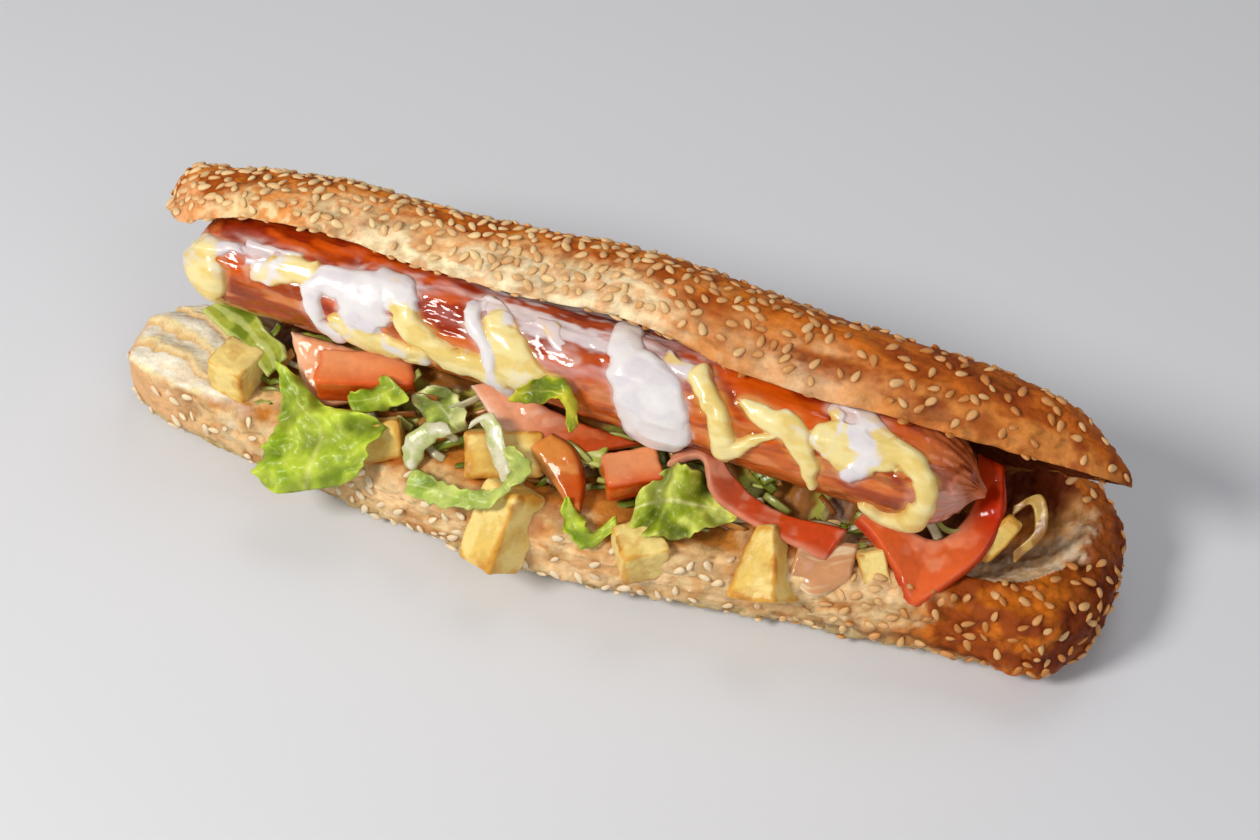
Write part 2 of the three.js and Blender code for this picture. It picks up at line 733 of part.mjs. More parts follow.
function bedPoint(along, around) {
  const s = -cos(PI * along);
  const a = mix(bed.left, bed.right, (s + 1) / 2);
  const turn = 2 * PI * around;
  const size = (1 - abs(s) ** 5) ** 0.5;
  const lumps = 1.1 * sin(a / 3.7) * sin(4 * turn) + 0.8 * sin(a / 2.3 + 2 * turn);
  const b = bed.middle[0] + squared(cos(turn), 0.6) * bed.half[0] * size;
  const h = bed.middle[1] + (squared(sin(turn), 0.6) * bed.half[1] + lumps) * size;
  return onSlope([a, b, h]);
}

// ---- Assembly ----------------------------------------------------------------------

const model = new THREE.Group();

function addNode(name, finish, solid) {
  const mesh = new THREE.Mesh(toGeometry(solid), finishes[finish]);
  mesh.name = name;
  mesh.position.copy(shift);
  model.add(mesh);
}

const sausageSpace = grown(toSolid(wrapped(...sausageGrid)), GAP + sausage.room);
const rollCore = rollSolid(sausageSpace);
const sausageNode = sausageSolid();
addNode('roll', 'crust', addSeeds(rollCore));
addNode('sausage', 'sausage', sausageNode);

// Each piece of the filling is cut clear of the roll, the sausage and the pieces before it
let taken = grown(rollCore, GAP).add(grown(sausageNode, GAP));

function addPiece(name, finish, solid) {
  const piece = largest(solid.subtract(taken));
  addNode(name, finish, piece);
  taken = taken.add(grown(piece, GAP));
}

for (const [name, sizes] of Object.entries(potatoes)) addPiece(name, 'potato', chunk(...sizes));
for (const [name, sizes] of Object.entries(tomatoBlocks)) addPiece(name, 'tomato', chunk(...sizes));
for (const [name, shape] of Object.entries(slices)) {
  const [plant] = name.split('_');
  addPiece(name, plant, slice(shape));
}
addPiece('salad_bed', 'salad', toSolid(wrapped(18, 12, bedPoint)));

export default model;
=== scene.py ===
import math
from itertools import product

import bpy
import numpy as np
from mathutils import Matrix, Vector
from mathutils.kdtree import KDTree


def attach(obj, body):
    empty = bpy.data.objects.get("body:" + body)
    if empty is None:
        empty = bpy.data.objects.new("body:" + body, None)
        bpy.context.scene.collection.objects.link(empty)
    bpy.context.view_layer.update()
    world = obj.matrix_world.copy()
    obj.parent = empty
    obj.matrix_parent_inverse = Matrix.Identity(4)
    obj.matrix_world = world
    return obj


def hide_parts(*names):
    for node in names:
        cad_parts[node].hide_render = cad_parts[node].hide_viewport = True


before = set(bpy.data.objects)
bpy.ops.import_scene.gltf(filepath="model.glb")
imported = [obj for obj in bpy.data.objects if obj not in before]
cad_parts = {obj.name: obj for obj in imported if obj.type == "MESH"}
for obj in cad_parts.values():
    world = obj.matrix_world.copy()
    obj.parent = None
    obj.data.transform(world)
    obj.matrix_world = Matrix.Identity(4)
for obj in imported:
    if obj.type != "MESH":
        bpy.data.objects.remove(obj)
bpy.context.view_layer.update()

# Sizes are in millimetres, as in the part's source; SHIFT is its move to the shared origin.
SHIFT = np.array([1.25, 0.75, 0.0])
HEEL = dict(left=-137, right=134.5, middle=5, front=40, back=27, height=24.5, pressed=1.6)
FRONT_SLIMNESS = [[-1, 1], [0.05, 1], [0.5, 0.91], [0.76, 0.9], [0.9, 1.01], [1, 0.98]]
LID = dict(left=-124.3, right=132.5, y=13.5, z=45.8, lean=(-8.5, -3.3), opening=50, half=25, hollow=2.2,
           end_slant=9)
LID_BEND = [[-130, 2], [-92, 4], [-60, 5], [-30, 3.6], [10, 1.6], [45, 0], [97, -1.8], [133, -1]]
LID_RIM = [
    [-126, -7], [-118, -5.4], [-108, -2.8], [-98, -0.8], [-80, 0], [-45, 0], [-21, 1],
    [-4, 3], [10, 3.6], [22, 2], [34, 0], [133, 0],
]
LID_THICKNESS = [
    [-126, 12.2], [-100, 14.5], [-79, 16.5], [-55, 15.6], [-30, 18],
    [8, 22], [45, 20.4], [97, 19.6], [118, 21.6], [133, 14],
]
HINGE = dict(left=-104, right=110, half_thickness=8, inset=6, overlap=4)
HOLLOW = dict(middle=(95, 3, 27), half=(33, 25, 14), turn=-0.12)
SAUSAGE = dict(left=(-114.5, 11, 50.6), right=(97, -8, 42.4), radius=13, bow=1.6, room=2.55)
FOOT_Y = [[-125, -3], [-98, -15], [-74, -21], [-30, -27.5], [10, -29], [46, -27], [100, -25]]
FOOT_Z, RUN, RISE = 24, 0.728, 0.685
SEED = dict(length=3.4, width=1.85, height=1.15)

TAU = 2 * math.pi

# Points of the meshes along each piece, and round it or across it
HEEL_ROWS, HEEL_SIDE, HEEL_TOP, HEEL_SOLE = 430, 26, 94, 90
LID_ROWS, LID_CROWN, LID_FACE = 420, 150, 60
HINGE_ROWS, HINGE_COLUMNS = 200, 60
SAUSAGE_ROWS, SAUSAGE_COLUMNS = 520, 200
SAUCE_ROWS, SAUCE_COLUMNS = 760, 200
BED_ROWS, BED_COLUMNS = 300, 110
SHRED_ROWS, SHRED_COLUMNS = 15, 5
SEED_ALONG, SEED_AROUND = 7, 9
CUBE_STEPS = 26
SHEET_STEP = 0.45      # mm between the points of a slice or leaf

SEEDS_ON = dict(heel=360, lid=960, hinge=110)
SEED_SPACING = dict(heel=2.8, lid=2.5, hinge=3)
FINE_SHREDS = 170


# ---- Numbers -----------------------------------------------------------------------

def ink(r, g, b):
    """Linear colour of a display colour given from 0 to 255."""
    c = np.array([r, g, b], float) / 255
    return np.where(c <= 0.04045, c / 12.92, ((c + 0.055) / 1.055) ** 2.4)


def mixed(a, b, f):
    """Colours or places a and b mixed by an array f from 0 to 1; a tuple is a display colour."""
    a, b = (ink(*c) if isinstance(c, tuple) else c for c in (a, b))
    f = np.asarray(f)[..., None]
    return a * (1 - f) + b * f


def painted(colour, *coats):
    """A colour under coats of (colour, share), laid on one after the other."""
    for coat, share in coats:
        colour = mixed(colour, coat, share)
    return colour


def shaded(colour, share):
    """A colour darkened by a share at each point."""
    return colour * (1 - share)[..., None]


def step(low, high, x):
    """Smooth step from 0 at low to 1 at high."""
    t = np.clip((np.asarray(x, float) - low) / (high - low), 0, 1)
    return t * t * (3 - 2 * t)


def hump(x, middle, width):
    return np.exp(-(((x - middle) / width) ** 2))


def through(knots, x):
    """Value at x of the smooth curve through knots [x, value]."""
    kx, ky = np.array(knots, float).T
    last = len(kx) - 1
    before = np.maximum(np.arange(last + 1) - 1, 0)
    after = np.minimum(np.arange(last + 1) + 1, last)
    tangent = (ky[after] - ky[before]) / (kx[after] - kx[before])
    x = np.clip(x, kx[0], kx[-1])
    i = np.clip(np.searchsorted(kx, x, side="right") - 1, 0, last - 1)
    span = kx[i + 1] - kx[i]
    f = (x - kx[i]) / span
    start = (1 + 2 * f) * (1 - f) ** 2 * ky[i] + f * (1 - f) ** 2 * span * tangent[i]
    return start + f * f * (3 - 2 * f) * ky[i + 1] + f * f * (f - 1) * span * tangent[i + 1]


def bulge(p, n):
    return np.maximum(1 - np.abs(p) ** n, 0) ** (1 / n)


def squared(wave, power):
    return np.sign(wave) * np.abs(wave) ** power


def unit(v):
    return v / (np.linalg.norm(v, axis=-1, keepdims=True) + 1e-12)


def lattice(i, j, k, seed):
    """Repeatable random numbers from -1 to 1 on a lattice."""
    h = (i * 73856093) ^ (j * 19349663) ^ (k * 83492791) ^ np.uint64(seed * 2654435761 % 2**32)
    h &= np.uint64(0xFFFFFFFF)
    h = ((h ^ (h >> np.uint64(15))) * np.uint64(2246822519)) & np.uint64(0xFFFFFFFF)
    h = ((h ^ (h >> np.uint64(13))) * np.uint64(3266489917)) & np.uint64(0xFFFFFFFF)
    return ((h ^ (h >> np.uint64(16))) & np.uint64(0xFFFFFF)).astype(float) / 8388607.5 - 1


def noise(places, size, seed):
    """Smooth noise from about -1 to 1 with lumps of a size, which may differ by axis."""
    q = np.asarray(places, float) / np.asarray(size, float) + 4096
    cell = np.floor(q)
    u = q - cell
    u = u * u * u * (u * (6 * u - 15) + 10)
    i, j, k = (cell[..., n].astype(np.uint64) for n in range(3))
    total = 0
    for a, b, c in product((0, 1), repeat=3):
        share = np.where(a, u[..., 0], 1 - u[..., 0])
        share = share * np.where(b, u[..., 1], 1 - u[..., 1])
        share = share * np.where(c, u[..., 2], 1 - u[..., 2])
        corner = lattice(i + np.uint64(a), j + np.uint64(b), k + np.uint64(c), seed)
        total = total + share * corner
    return total


def fractal(places, size, seed, octaves, gain=0.5):
    """Noise with finer and weaker noise added to it."""
    size = np.asarray(size, float)
    return sum(gain**n * noise(places, size / 2**n, seed + 31 * n) for n in range(octaves))


def patches(places, size, seed, low, high, octaves=3):
    """Shares from 0 to 1 of blotches, where the noise rises from low to high."""
    return step(low, high, fractal(places, size, seed, octaves))


def spline(points, u):
    """Centripetal curve through points, at u from 0 to 1."""
    p = np.array(points, float)
    last = len(p) - 1
    p = np.vstack([2 * p[0] - p[1], p, 2 * p[-1] - p[-2]])
    at = np.clip(np.asarray(u, float), 0, 1) * last
    i = np.clip(np.floor(at).astype(int), 0, last - 1)
    w = (at - i)[..., None]
    p0, p1, p2, p3 = p[i], p[i + 1], p[i + 2], p[i + 3]
    d0, d1, d2 = (
        np.maximum(np.linalg.norm(b - a, axis=-1, keepdims=True), 1e-6) ** 0.5
        for a, b in ((p0, p1), (p1, p2), (p2, p3))
    )
    t1 = ((p1 - p0) / d0 - (p2 - p0) / (d0 + d1) + (p2 - p1) / d1) * d1
    t2 = ((p2 - p1) / d1 - (p3 - p1) / (d1 + d2) + (p3 - p2) / d2) * d1
    return p1 + t1 * w + (-3 * p1 + 3 * p2 - 2 * t1 - t2) * w**2 + (2 * p1 - 2 * p2 + t1 + t2) * w**3


# ---- Meshes ------------------------------------------------------------------------

def linked(name, data):
    """A new object of data, in the scene."""
    thing = bpy.data.objects.new(name, data)
    bpy.context.scene.collection.objects.link(thing)
    return thing


def add_mesh(name, points, faces, tints, wet, material):
    """An object from points in mm, a list of face arrays, and for each point a linear colour
    and a factor on its roughness."""
    mesh = bpy.data.meshes.new(name)
    mesh.vertices.add(len(points))
    mesh.vertices.foreach_set("co", ((points + SHIFT) / 1000).astype(np.float32).ravel())
    loops = np.concatenate([f.ravel() for f in faces]).astype(np.int32)
    sizes = np.concatenate([np.full(len(f), f.shape[1]) for f in faces])
    starts = np.concatenate([[0], np.cumsum(sizes)[:-1]]).astype(np.int32)
    mesh.loops.add(len(loops))
    mesh.loops.foreach_set("vertex_index", loops)
    mesh.polygons.add(len(sizes))
    mesh.polygons.foreach_set("loop_start", starts)
    mesh.update(calc_edges=True)
    mesh.validate()
    mesh.polygons.foreach_set("use_smooth", np.ones(len(mesh.polygons), bool))
    colours = np.ones((len(points), 4), np.float32)
    colours[:, :3] = np.clip(tints, 0, 1)
    colours[:, 3] = wet
    layer = mesh.color_attributes.new("tint", "FLOAT_COLOR", "POINT")
    layer.data.foreach_set("color", colours.ravel())
    mesh.materials.append(material)
    return linked(name, mesh)


def grid_cells(values):
    """The four values at the corners of each cell of a grid."""
    return np.stack([values[:-1, :-1], values[1:, :-1], values[1:, 1:], values[:-1, 1:]], -1)


def volume_sign(points, quads):
    a, b, c, d = (points[quads[:, n]] for n in range(4))
    return np.sign((np.cross(b - a, c - a) * (a + c)).sum() + (np.cross(c - a, d - a) * (a + c)).sum())


class Shape:
    """Points, quads, triangles and colours, which can be joined to others."""

    def __init__(self, points, quads, tints, wet=None, tris=None):
        self.points, self.quads = points, quads
        self.tris = np.zeros((0, 3), int) if tris is None else tris
        self.tints = np.broadcast_to(tints, points.shape).copy()
        self.wet = np.broadcast_to(1.0 if wet is None else wet, len(points)).copy()

    @staticmethod
    def joined(shapes):
        offsets = np.cumsum([0] + [len(s.points) for s in shapes])
        return Shape(
            np.vstack([s.points for s in shapes]),
            np.vstack([s.quads + o for s, o in zip(shapes, offsets)]),
            np.vstack([s.tints for s in shapes]),
            np.concatenate([s.wet for s in shapes]),
            np.vstack([s.tris + o for s, o in zip(shapes, offsets)]),
        )

    def piece(self, name, material):
        faces = [f for f in (self.quads, self.tris) if len(f)]
        return add_mesh(name, self.points, faces, self.tints, self.wet, material)


def closed_tube(grid, tints, wet=None):
    """Shape of rows x columns x 3 points, round in its columns, with both ends capped."""
    rows, columns = grid.shape[:2]
    ids = np.arange(rows * columns).reshape(rows, columns)
    beside = np.roll(ids, -1, 1)
    quads = np.stack([ids[:-1], ids[1:], beside[1:], beside[:-1]], -1).reshape(-1, 4)
    first, last = rows * columns, rows * columns + 1
    start = np.stack([np.full(columns, first), ids[0], beside[0]], -1)
    end = np.stack([np.full(columns, last), beside[-1], ids[-1]], -1)
    tris = np.vstack([start, end])
    points = np.vstack([grid.reshape(-1, 3), grid[0].mean(0), grid[-1].mean(0)])
    flat = np.broadcast_to(tints, grid.shape).reshape(-1, 3)
    tints = np.vstack([flat, flat[:columns].mean(0), flat[-columns:].mean(0)])
    if wet is not None:
        wet = np.broadcast_to(wet, (rows, columns)).ravel()
        wet = np.concatenate([wet, [wet[0], wet[-1]]])
    if volume_sign(points, quads) < 0:
        quads, tris = quads[:, ::-1], tris[:, ::-1]
    return Shape(points, quads, tints, wet, tris)


def tube_normals(grid):
    """Outward directions at the points of a tube's grid."""
    along = np.gradient(grid, axis=0)
    across = np.roll(grid, -1, 1) - np.roll(grid, 1, 1)
    n = unit(np.cross(along, across))
    out = grid - grid.mean(1, keepdims=True)
    return n * np.sign((n * out).sum())


def raised(grid, relief):
    """A tube's points moved out of it by a relief in mm."""
    return grid + tube_normals(grid) * relief[..., None]


def sheet_normals(grid):
    return unit(np.cross(np.gradient(grid, axis=0), np.gradient(grid, axis=1)))


def slab(grid, thickness, tints, wet=None):
    """Closed shape with a middle grid and a thickness at each point; the rim is where it is nil."""
    rows, columns = grid.shape[:2]
    n = sheet_normals(grid)
    half = thickness[..., None] / 2
    top, low = grid + n * half, grid - n * half
    ids = np.arange(rows * columns).reshape(rows, columns)
    inner = np.full((rows, columns), -1)
    count = (rows - 2) * (columns - 2)
    inner[1:-1, 1:-1] = rows * columns + np.arange(count).reshape(rows - 2, columns - 2)
    below = np.where(inner >= 0, inner, ids)
    quads = np.vstack([grid_cells(ids).reshape(-1, 4), grid_cells(below)[..., [0, 3, 2, 1]].reshape(-1, 4)])
    points = np.vstack([top.reshape(-1, 3), low[1:-1, 1:-1].reshape(-1, 3)])
    tints = np.broadcast_to(tints, grid.shape)
    colours = np.vstack([tints.reshape(-1, 3), tints[1:-1, 1:-1].reshape(-1, 3)])
    if wet is not None:
        wet = np.broadcast_to(wet, (rows, columns))
        wet = np.concatenate([wet.ravel(), wet[1:-1, 1:-1].ravel()])
    return Shape(points, quads, colours, wet)


def rounded_rim(rows, columns, length, width, reach):
    """Share of the full thickness, from 0 at the rim to 1 at reach mm inside it."""
    u = np.linspace(0, 1, rows)[:, None] * length
    v = np.linspace(0, 1, columns)[None] * width
    inside = np.minimum(np.minimum(u, length - u), np.minimum(v, width - v))
    t = np.clip(1 - inside / reach, 0, 1)
    return np.sqrt(np.maximum(1 - t * t, 0))


# ---- Materials ---------------------------------------------------------------------

def set_inputs(tree, node, inputs):
    """Sets sockets of a node to values, or joins them to sockets of other nodes."""
    for name, value in inputs.items():
        if isinstance(value, bpy.types.NodeSocket):
            tree.links.new(value, node.inputs[name])
        else:
            node.inputs[name].default_value = value


def add_node(tree, kind, inputs=None, **settings):
    node = tree.nodes.new("ShaderNode" + kind)
    for name, value in settings.items():
        setattr(node, name, value)
    set_inputs(tree, node, inputs or {})
    return node


GLOSS_SPREAD, LEAST_ROUGHNESS = 0.1, 0.02
BUMP_DEPTH, SCATTER_DEPTH = 0.3 / 1000, 3 / 1000


def food(name, rough, grain, bump, vary=0.12, coat=0.0, scatter=0.0, radius=(1, 0.6, 0.3),
         coat_rough=0.1, specular=0.5, stretch=(1, 1, 1)):
    """A material whose colour is the tint layer, varied and bumped by noise of a grain in mm."""
    material = bpy.data.materials.new(name)
    material.use_nodes = True
    tree = material.node_tree
    tint = add_node(tree, "Attribute", attribute_name="tint")
    place = add_node(tree, "TexCoord").outputs["Object"]
    place = add_node(tree, "Mapping", {"Vector": place, "Scale": stretch}).outputs["Vector"]
    fine = add_node(tree, "TexNoise", {
        "Vector": place, "Scale": 1000 / grain, "Detail": 5, "Roughness": 0.6}).outputs["Fac"]
    coarse = add_node(tree, "TexNoise", {
        "Vector": place, "Scale": 1000 / (grain * 6), "Detail": 3}).outputs["Fac"]
    both = add_node(tree, "Math", {0: fine, 1: coarse}, operation="ADD")
    half = add_node(tree, "Math", {0: both.outputs[0], 1: 0.5}, operation="MULTIPLY")
    spread = add_node(tree, "MapRange", {
        "Value": half.outputs[0], "From Min": 0.3, "From Max": 0.7, "To Min": 1 - vary, "To Max": 1 + vary})
    shade = add_node(tree, "VectorMath", {
        0: tint.outputs["Color"], "Scale": spread.outputs["Result"]}, operation="SCALE")
    least, most = max(LEAST_ROUGHNESS, rough - GLOSS_SPREAD), rough + GLOSS_SPREAD
    gloss = add_node(tree, "MapRange", {"Value": fine, "To Min": least, "To Max": most})
    dry = add_node(tree, "Math", {
        0: gloss.outputs["Result"], 1: tint.outputs["Alpha"]}, operation="MULTIPLY")
    relief = add_node(tree, "Bump", {"Height": fine, "Strength": bump, "Distance": BUMP_DEPTH})
    set_inputs(tree, tree.nodes["Principled BSDF"], {
        "Base Color": shade.outputs["Vector"],
        "Roughness": dry.outputs[0],
        "Normal": relief.outputs["Normal"],
        "Specular IOR Level": specular,
        "Coat Weight": coat,
        "Coat Roughness": coat_rough,
        "Coat Normal": relief.outputs["Normal"],
        "Subsurface Weight": scatter,
        "Subsurface Radius": radius,
        "Subsurface Scale": SCATTER_DEPTH,
    })
    return material


BREAD = food("baked_roll", 0.62, 0.9, 0.6, vary=0.24, scatter=0.06, specular=0.16)
SEEDS = food("sesame", 0.42, 0.8, 0.2, vary=0.1, scatter=0.12, specular=0.35)
SKIN = food("glazed_sausage", 0.3, 2.4, 0.3, vary=0.18, coat=0.75, coat_rough=0.04, scatter=0.03,
            radius=(1, 0.3, 0.1), stretch=(0.5, 1, 1), specular=0.03)
SAUCE = food("mustard_and_mayonnaise", 0.28, 4, 0.12, vary=0.04, coat=0.4, coat_rough=0.06,
             scatter=0.3, radius=(1, 0.8, 0.5), specular=0.3)
TOMATO = food("tomato_flesh", 0.32, 2, 0.12, vary=0.14, coat=0.4, coat_rough=0.05, scatter=0.15,
              radius=(1, 0.25, 0.1), specular=0.06)
LEAF = food("lettuce_leaf", 0.4, 1.3, 0.25, vary=0.14, coat=0.08, coat_rough=0.15, scatter=0.25,
            radius=(0.6, 1, 0.2), specular=0.3)
SHRED = food("cabbage_shreds", 0.34, 1.2, 0.3, vary=0.1, coat=0.15, scatter=0.4, radius=(1, 1, 0.7))
POTATO = food("fried_potato", 0.5, 0.8, 0.4, coat=0.08, scatter=0.15, radius=(1, 0.7, 0.2), specular=0.3)
ONION = food("soft_onion", 0.26, 1.5, 0.2, vary=0.1, coat=0.3, scatter=0.4, radius=(1, 0.7, 0.3),
             specular=0.3)
SALAD = food("mixed_salad", 0.5, 1.2, 0.5, vary=0.3, scatter=0.1, specular=0.25)


# ---- Roll --------------------------------------------------------------------------

def heel_s(x):
    return np.clip(2 * (x - HEEL["left"]) / (HEEL["right"] - HEEL["left"]) - 1, -1, 1)


def plan_taper(s, bluntness):
    left = (1 - 0.64 * np.maximum(-s, 0) ** 1.3) * np.sqrt(np.maximum(1 - s**20, 0))
    return np.where(s < 0, left, np.sqrt(np.maximum(1 - np.abs(s) ** bluntness, 0)))


def front_edge(x):
    s = heel_s(x)
    return HEEL["middle"] - HEEL["front"] * plan_taper(s, 16) * through(FRONT_SLIMNESS, s)


def back_edge(x):
    return HEEL["middle"] + HEEL["back"] * plan_taper(heel_s(x), 9)


def heel_points(s, around):
    x = HEEL["left"] + (HEEL["right"] - HEEL["left"]) * (s + 1) / 2 + 0 * around
    p = np.cos(TAU * around) + 0 * s
    top = (around < 0.5) & (s > -2)
    reach = np.where(p < 0, HEEL["middle"] - front_edge(x), back_edge(x) - HEEL["middle"])
    tall = (1 - np.abs(s) ** 14) ** 0.4
    half = (HEEL["height"] + HEEL["pressed"]) / 2
    rise = np.where(top, bulge(p, 7), -bulge(p, 3))
    crumb = np.where(top, 0.7 * np.sin(x / 5.1) * np.sin(p * 9) + 1.5 * (p + 1) * (1 - p * p), 0)
    z = half - HEEL["pressed"] + (half * rise + crumb) * tall
    return np.stack([x, HEEL["middle"] + p * reach, np.maximum(0, z)], -1), p, top


def scooped(points):
    """Heights lowered into the hollow behind the blunt right end."""
    mx, my, mz = HOLLOW["middle"]
    hx, hy, hz = HOLLOW["half"]
    c, s = math.cos(HOLLOW["turn"]), math.sin(HOLLOW["turn"])
    dx, dy = points[..., 0] - mx, points[..., 1] - my
    u = (c * dx + s * dy) / hx
    v = (-s * dx + c * dy) / hy
    inside = np.maximum(1 - u * u - v * v, 0)
    floor = mz - hz * inside**0.85
    deep = (inside > 0) & (points[..., 2] > floor)
    points[..., 2] = np.where(deep, floor, points[..., 2])
    return np.where(deep, inside, 0)


def lid_frame(x):
    """Middle of the lid's cut face at x, and the directions across it and out of its crust."""
    tilt = math.radians(LID["opening"])
    out = np.array([0, math.sin(tilt), math.cos(tilt)])
    across = np.array([0, -math.cos(tilt), math.sin(tilt)])
    lean = x / LID["right"]
    y = LID["y"] + LID["lean"][0] * lean
    z = LID["z"] + LID["lean"][1] * lean
    middle = np.stack([x, y, z], -1) + through(LID_BEND, x)[..., None] * out
    return middle, across, out


def lid_taper(s):
    left = np.maximum(1 - np.abs(s) ** 18, 0) ** 0.45
    right = np.maximum(1 - np.abs(s) ** 3.4, 0) ** 0.6
    return np.where(s < 0, left, right)


def lid_points(s, around):
    x = LID["left"] + (LID["right"] - LID["left"]) * (s + 1) / 2 + 0 * around
    middle, across, out = lid_frame(x)
    p = np.cos(TAU * around) + 0 * s
    top = (around < 0.5) & (s > -2)
    taper = lid_taper(s)
    ragged = 0.7 * np.sin(x / 3.3) * np.sin(x / 7.7 + 1) * np.maximum(0, p) ** 4
    width = (LID["half"] + ragged) * taper
    height = through(LID_THICKNESS, x) * np.minimum(1, taper * 1.25)
    rim = through(LID_RIM, x) * np.maximum(0, p) ** 3 * np.minimum(1, taper * 1.25)
    crown = np.where(top, bulge(p, 2.3), 0)
    rise = rim + np.where(top, height * crown, LID["hollow"] * taper * (1 - p**4))
    middle[..., 0] += LID["end_slant"] * (0.5 - crown) * np.maximum(0, -s) ** 10
    return middle + (p * width)[..., None] * across + rise[..., None] * out, p, top


def hinge_points(along, around):
    x = HINGE["left"] + (HINGE["right"] - HINGE["left"]) * along + 0 * around
    low = np.stack([x, back_edge(x) - HINGE["inset"], 0 * x + HEEL["height"] - HINGE["inset"]], -1)
    middle, across, out = lid_frame(x)
    high = middle - (LID["half"] - HINGE["overlap"]) * across + HINGE["inset"] * out
    reach = high - low
    length = np.linalg.norm(reach, axis=-1, keepdims=True) / 2 + HINGE["overlap"]
    reach = unit(reach)
    side = np.stack([0 * x, reach[..., 2], -reach[..., 1]], -1)
    round_end = (1 - np.abs(2 * along - 1) ** 8) ** 0.5
    wave = TAU * around
    swing = (np.cos(wave) * round_end)[..., None] * length * reach
    return (low + high) / 2 + swing + (HINGE["half_thickness"] * np.sin(wave) * round_end)[..., None] * side


def stations(count, ends=0.75):
    """Numbers from -1 to 1, closer together at both ends."""
    t = (np.arange(count) + 0.5) / count
    return (-ends * np.cos(math.pi * t) + (1 - ends) * (2 * t - 1))[:, None]


CREAM = (246, 212, 156)
PEACH = (236, 166, 98)
GOLD = (212, 124, 40)
BROWN = (160, 78, 24)
# Dark brown painted as shade between the two halves of the roll
SHADE_BROWN = (96, 38, 8)
CRUMB = (240, 212, 164)
STAIN = (196, 122, 44)


def crust_relief(places, seed):
    """Lumps, fine wrinkles and small cracks of a baked crust, in mm."""
    lumps = 0.55 * fractal(places, (14, 9, 9), seed, 3)
    wrinkles = 0.22 * (1 - 2 * np.abs(fractal(places, 3.2, seed + 5, 3)))
    cracks = -0.5 * step(0.86, 0.98, 1 - np.abs(fractal(places, (11, 7, 7), seed + 9, 2)))
    return lumps + wrinkles + 0.6 * cracks


def crumb_relief(places, seed):
    pores = fractal(places, 2.4, seed, 3)
    return 0.9 * fractal(places, 9, seed + 3, 3) + 0.45 * pores - 0.7 * step(0.35, 0.8, pores)


def heel_columns():
    """Shares of a turn for the heel's columns, even round the squared sides."""
    side = bulge(np.linspace(0, 0.8, HEEL_SIDE), 7)
    across = np.linspace(side[-1], -side[-1], HEEL_TOP)[1:-1]
    across = np.concatenate([side, across, -side[:0:-1]])
    return np.concatenate([np.arccos(across) / TAU, np.linspace(0.5, 1, HEEL_SOLE, endpoint=False)])


def torn_ridges(grid):
    """Place from 0 to 1 within each step of torn crumb; the steps run forwards and right."""
    ridge = (grid[..., 1] + 0.4 * (grid[..., 0] + 115)) / 7.5 + 0.3 * fractal(grid, 9, 78, 3)
    return ridge - np.floor(ridge)


def heel_crust(grid, x, y, z, mottle, fine, flaky):
    """Pale tan at the front and left, orange-brown behind, dark at the right end."""
    tan = mixed(PEACH, CREAM, step(-0.3, 0.5, fine + 0.4))
    rear = step(10, 20, y + 2 * mottle)
    sole = step(9, 5, z + 1.6 * mottle + 6 * step(102, 116, x) + 3 * rear)
    # Painted shade: a dark line along the crease low on the crust's right part, above the pale underside
    crease_shade = hump(z + 1.2 * mottle, 8.6, 0.9) * step(52, 70, x) * step(116, 102, x)
    colour = painted(
        tan,
        (GOLD, 0.6 * step(0.05, 0.7, mottle + 0.2)),
        (mixed((244, 214, 160), (232, 212, 172), step(-0.3, 0.3, fine)), 0.7 * flaky),
        ((214, 136, 66), 0.4 * patches(grid, (5, 3, 3), 80, 0.1, 0.4) * (1 - flaky)),
        (mixed((214, 180, 128), (168, 122, 66), patches(grid, (7, 4, 4), 81, -0.1, 0.5)), 0.55),
        ((250, 212, 160), 0.7 * patches(grid, (10, 5, 5), 82, 0.1, 0.45) * step(-100, -60, x)),
        ((226, 176, 124), 0.9 * step(-100, -120, x + 5 * mottle)),
        (mixed((200, 108, 22), (150, 66, 6), step(-0.5, 0.4, mottle + 0.4 * fine)),
         step(70, 88, x + 9 * mottle - 1.0 * (z - 12))),
        ((104, 36, 5), step(112, 130, x + 5 * mottle) * 0.9),
        (mixed((206, 116, 34), (160, 78, 16), step(-0.5, 0.5, mottle + 0.3 * fine)), rear),
        (mixed((214, 190, 142), (178, 150, 92), step(-0.3, 0.5, fine)), sole * 0.9),
    )
    return shaded(colour, 0.6 * crease_shade)


def heel_face(grid, x, y, mottle, fine, wobble, hollow, ridge):
    """Cut face: white where torn at the left, then stained, and the hollow with its pale rim."""
    # Torn steps are white, with a painted shade of tan at the foot of each step
    layers = painted(
        mixed((214, 176, 118), (244, 236, 214), step(0.04, 0.3, ridge)),
        ((240, 214, 142), 0.7 * hump(ridge, 0.24, 0.12)),
        ((230, 200, 150), 0.4 * patches(grid, (7, 3, 3), 79, 0.2, 0.6)),
    )
    stained = painted(
        mixed((226, 186, 126), STAIN, step(-0.5, 0.4, fractal(grid, (12, 6, 6), 73, 3) + 0.15)),
        (BROWN, 0.7 * patches(grid, (8, 5, 5), 74, 0.2, 0.8)),
        (layers, step(-88, -101, x + 4 * mottle)),
    )
    pale = mixed((255, 226, 188), (238, 194, 142), step(-0.3, 0.6, fine))
    # The hollow: stained crumb under painted shade, orange-brown deep in its middle and dark brown at its
    # back
    deep = mixed((250, 178, 96), (236, 142, 54), step(0.5, 0.85, hollow + 0.1 * mottle))
    deep = mixed(deep, (112, 44, 12), step(3, 15, y + 3 * mottle))
    inner = painted(
        pale,
        (deep, step(-7, 7, y - 0.3 * (x - 105) + 3 * mottle + 1.5 * fine)),
        ((150, 74, 20), step(121, 127, x + 2 * wobble + 1.5 * fine)),
    )
    return mixed(stained, inner, step(64, 76, x))


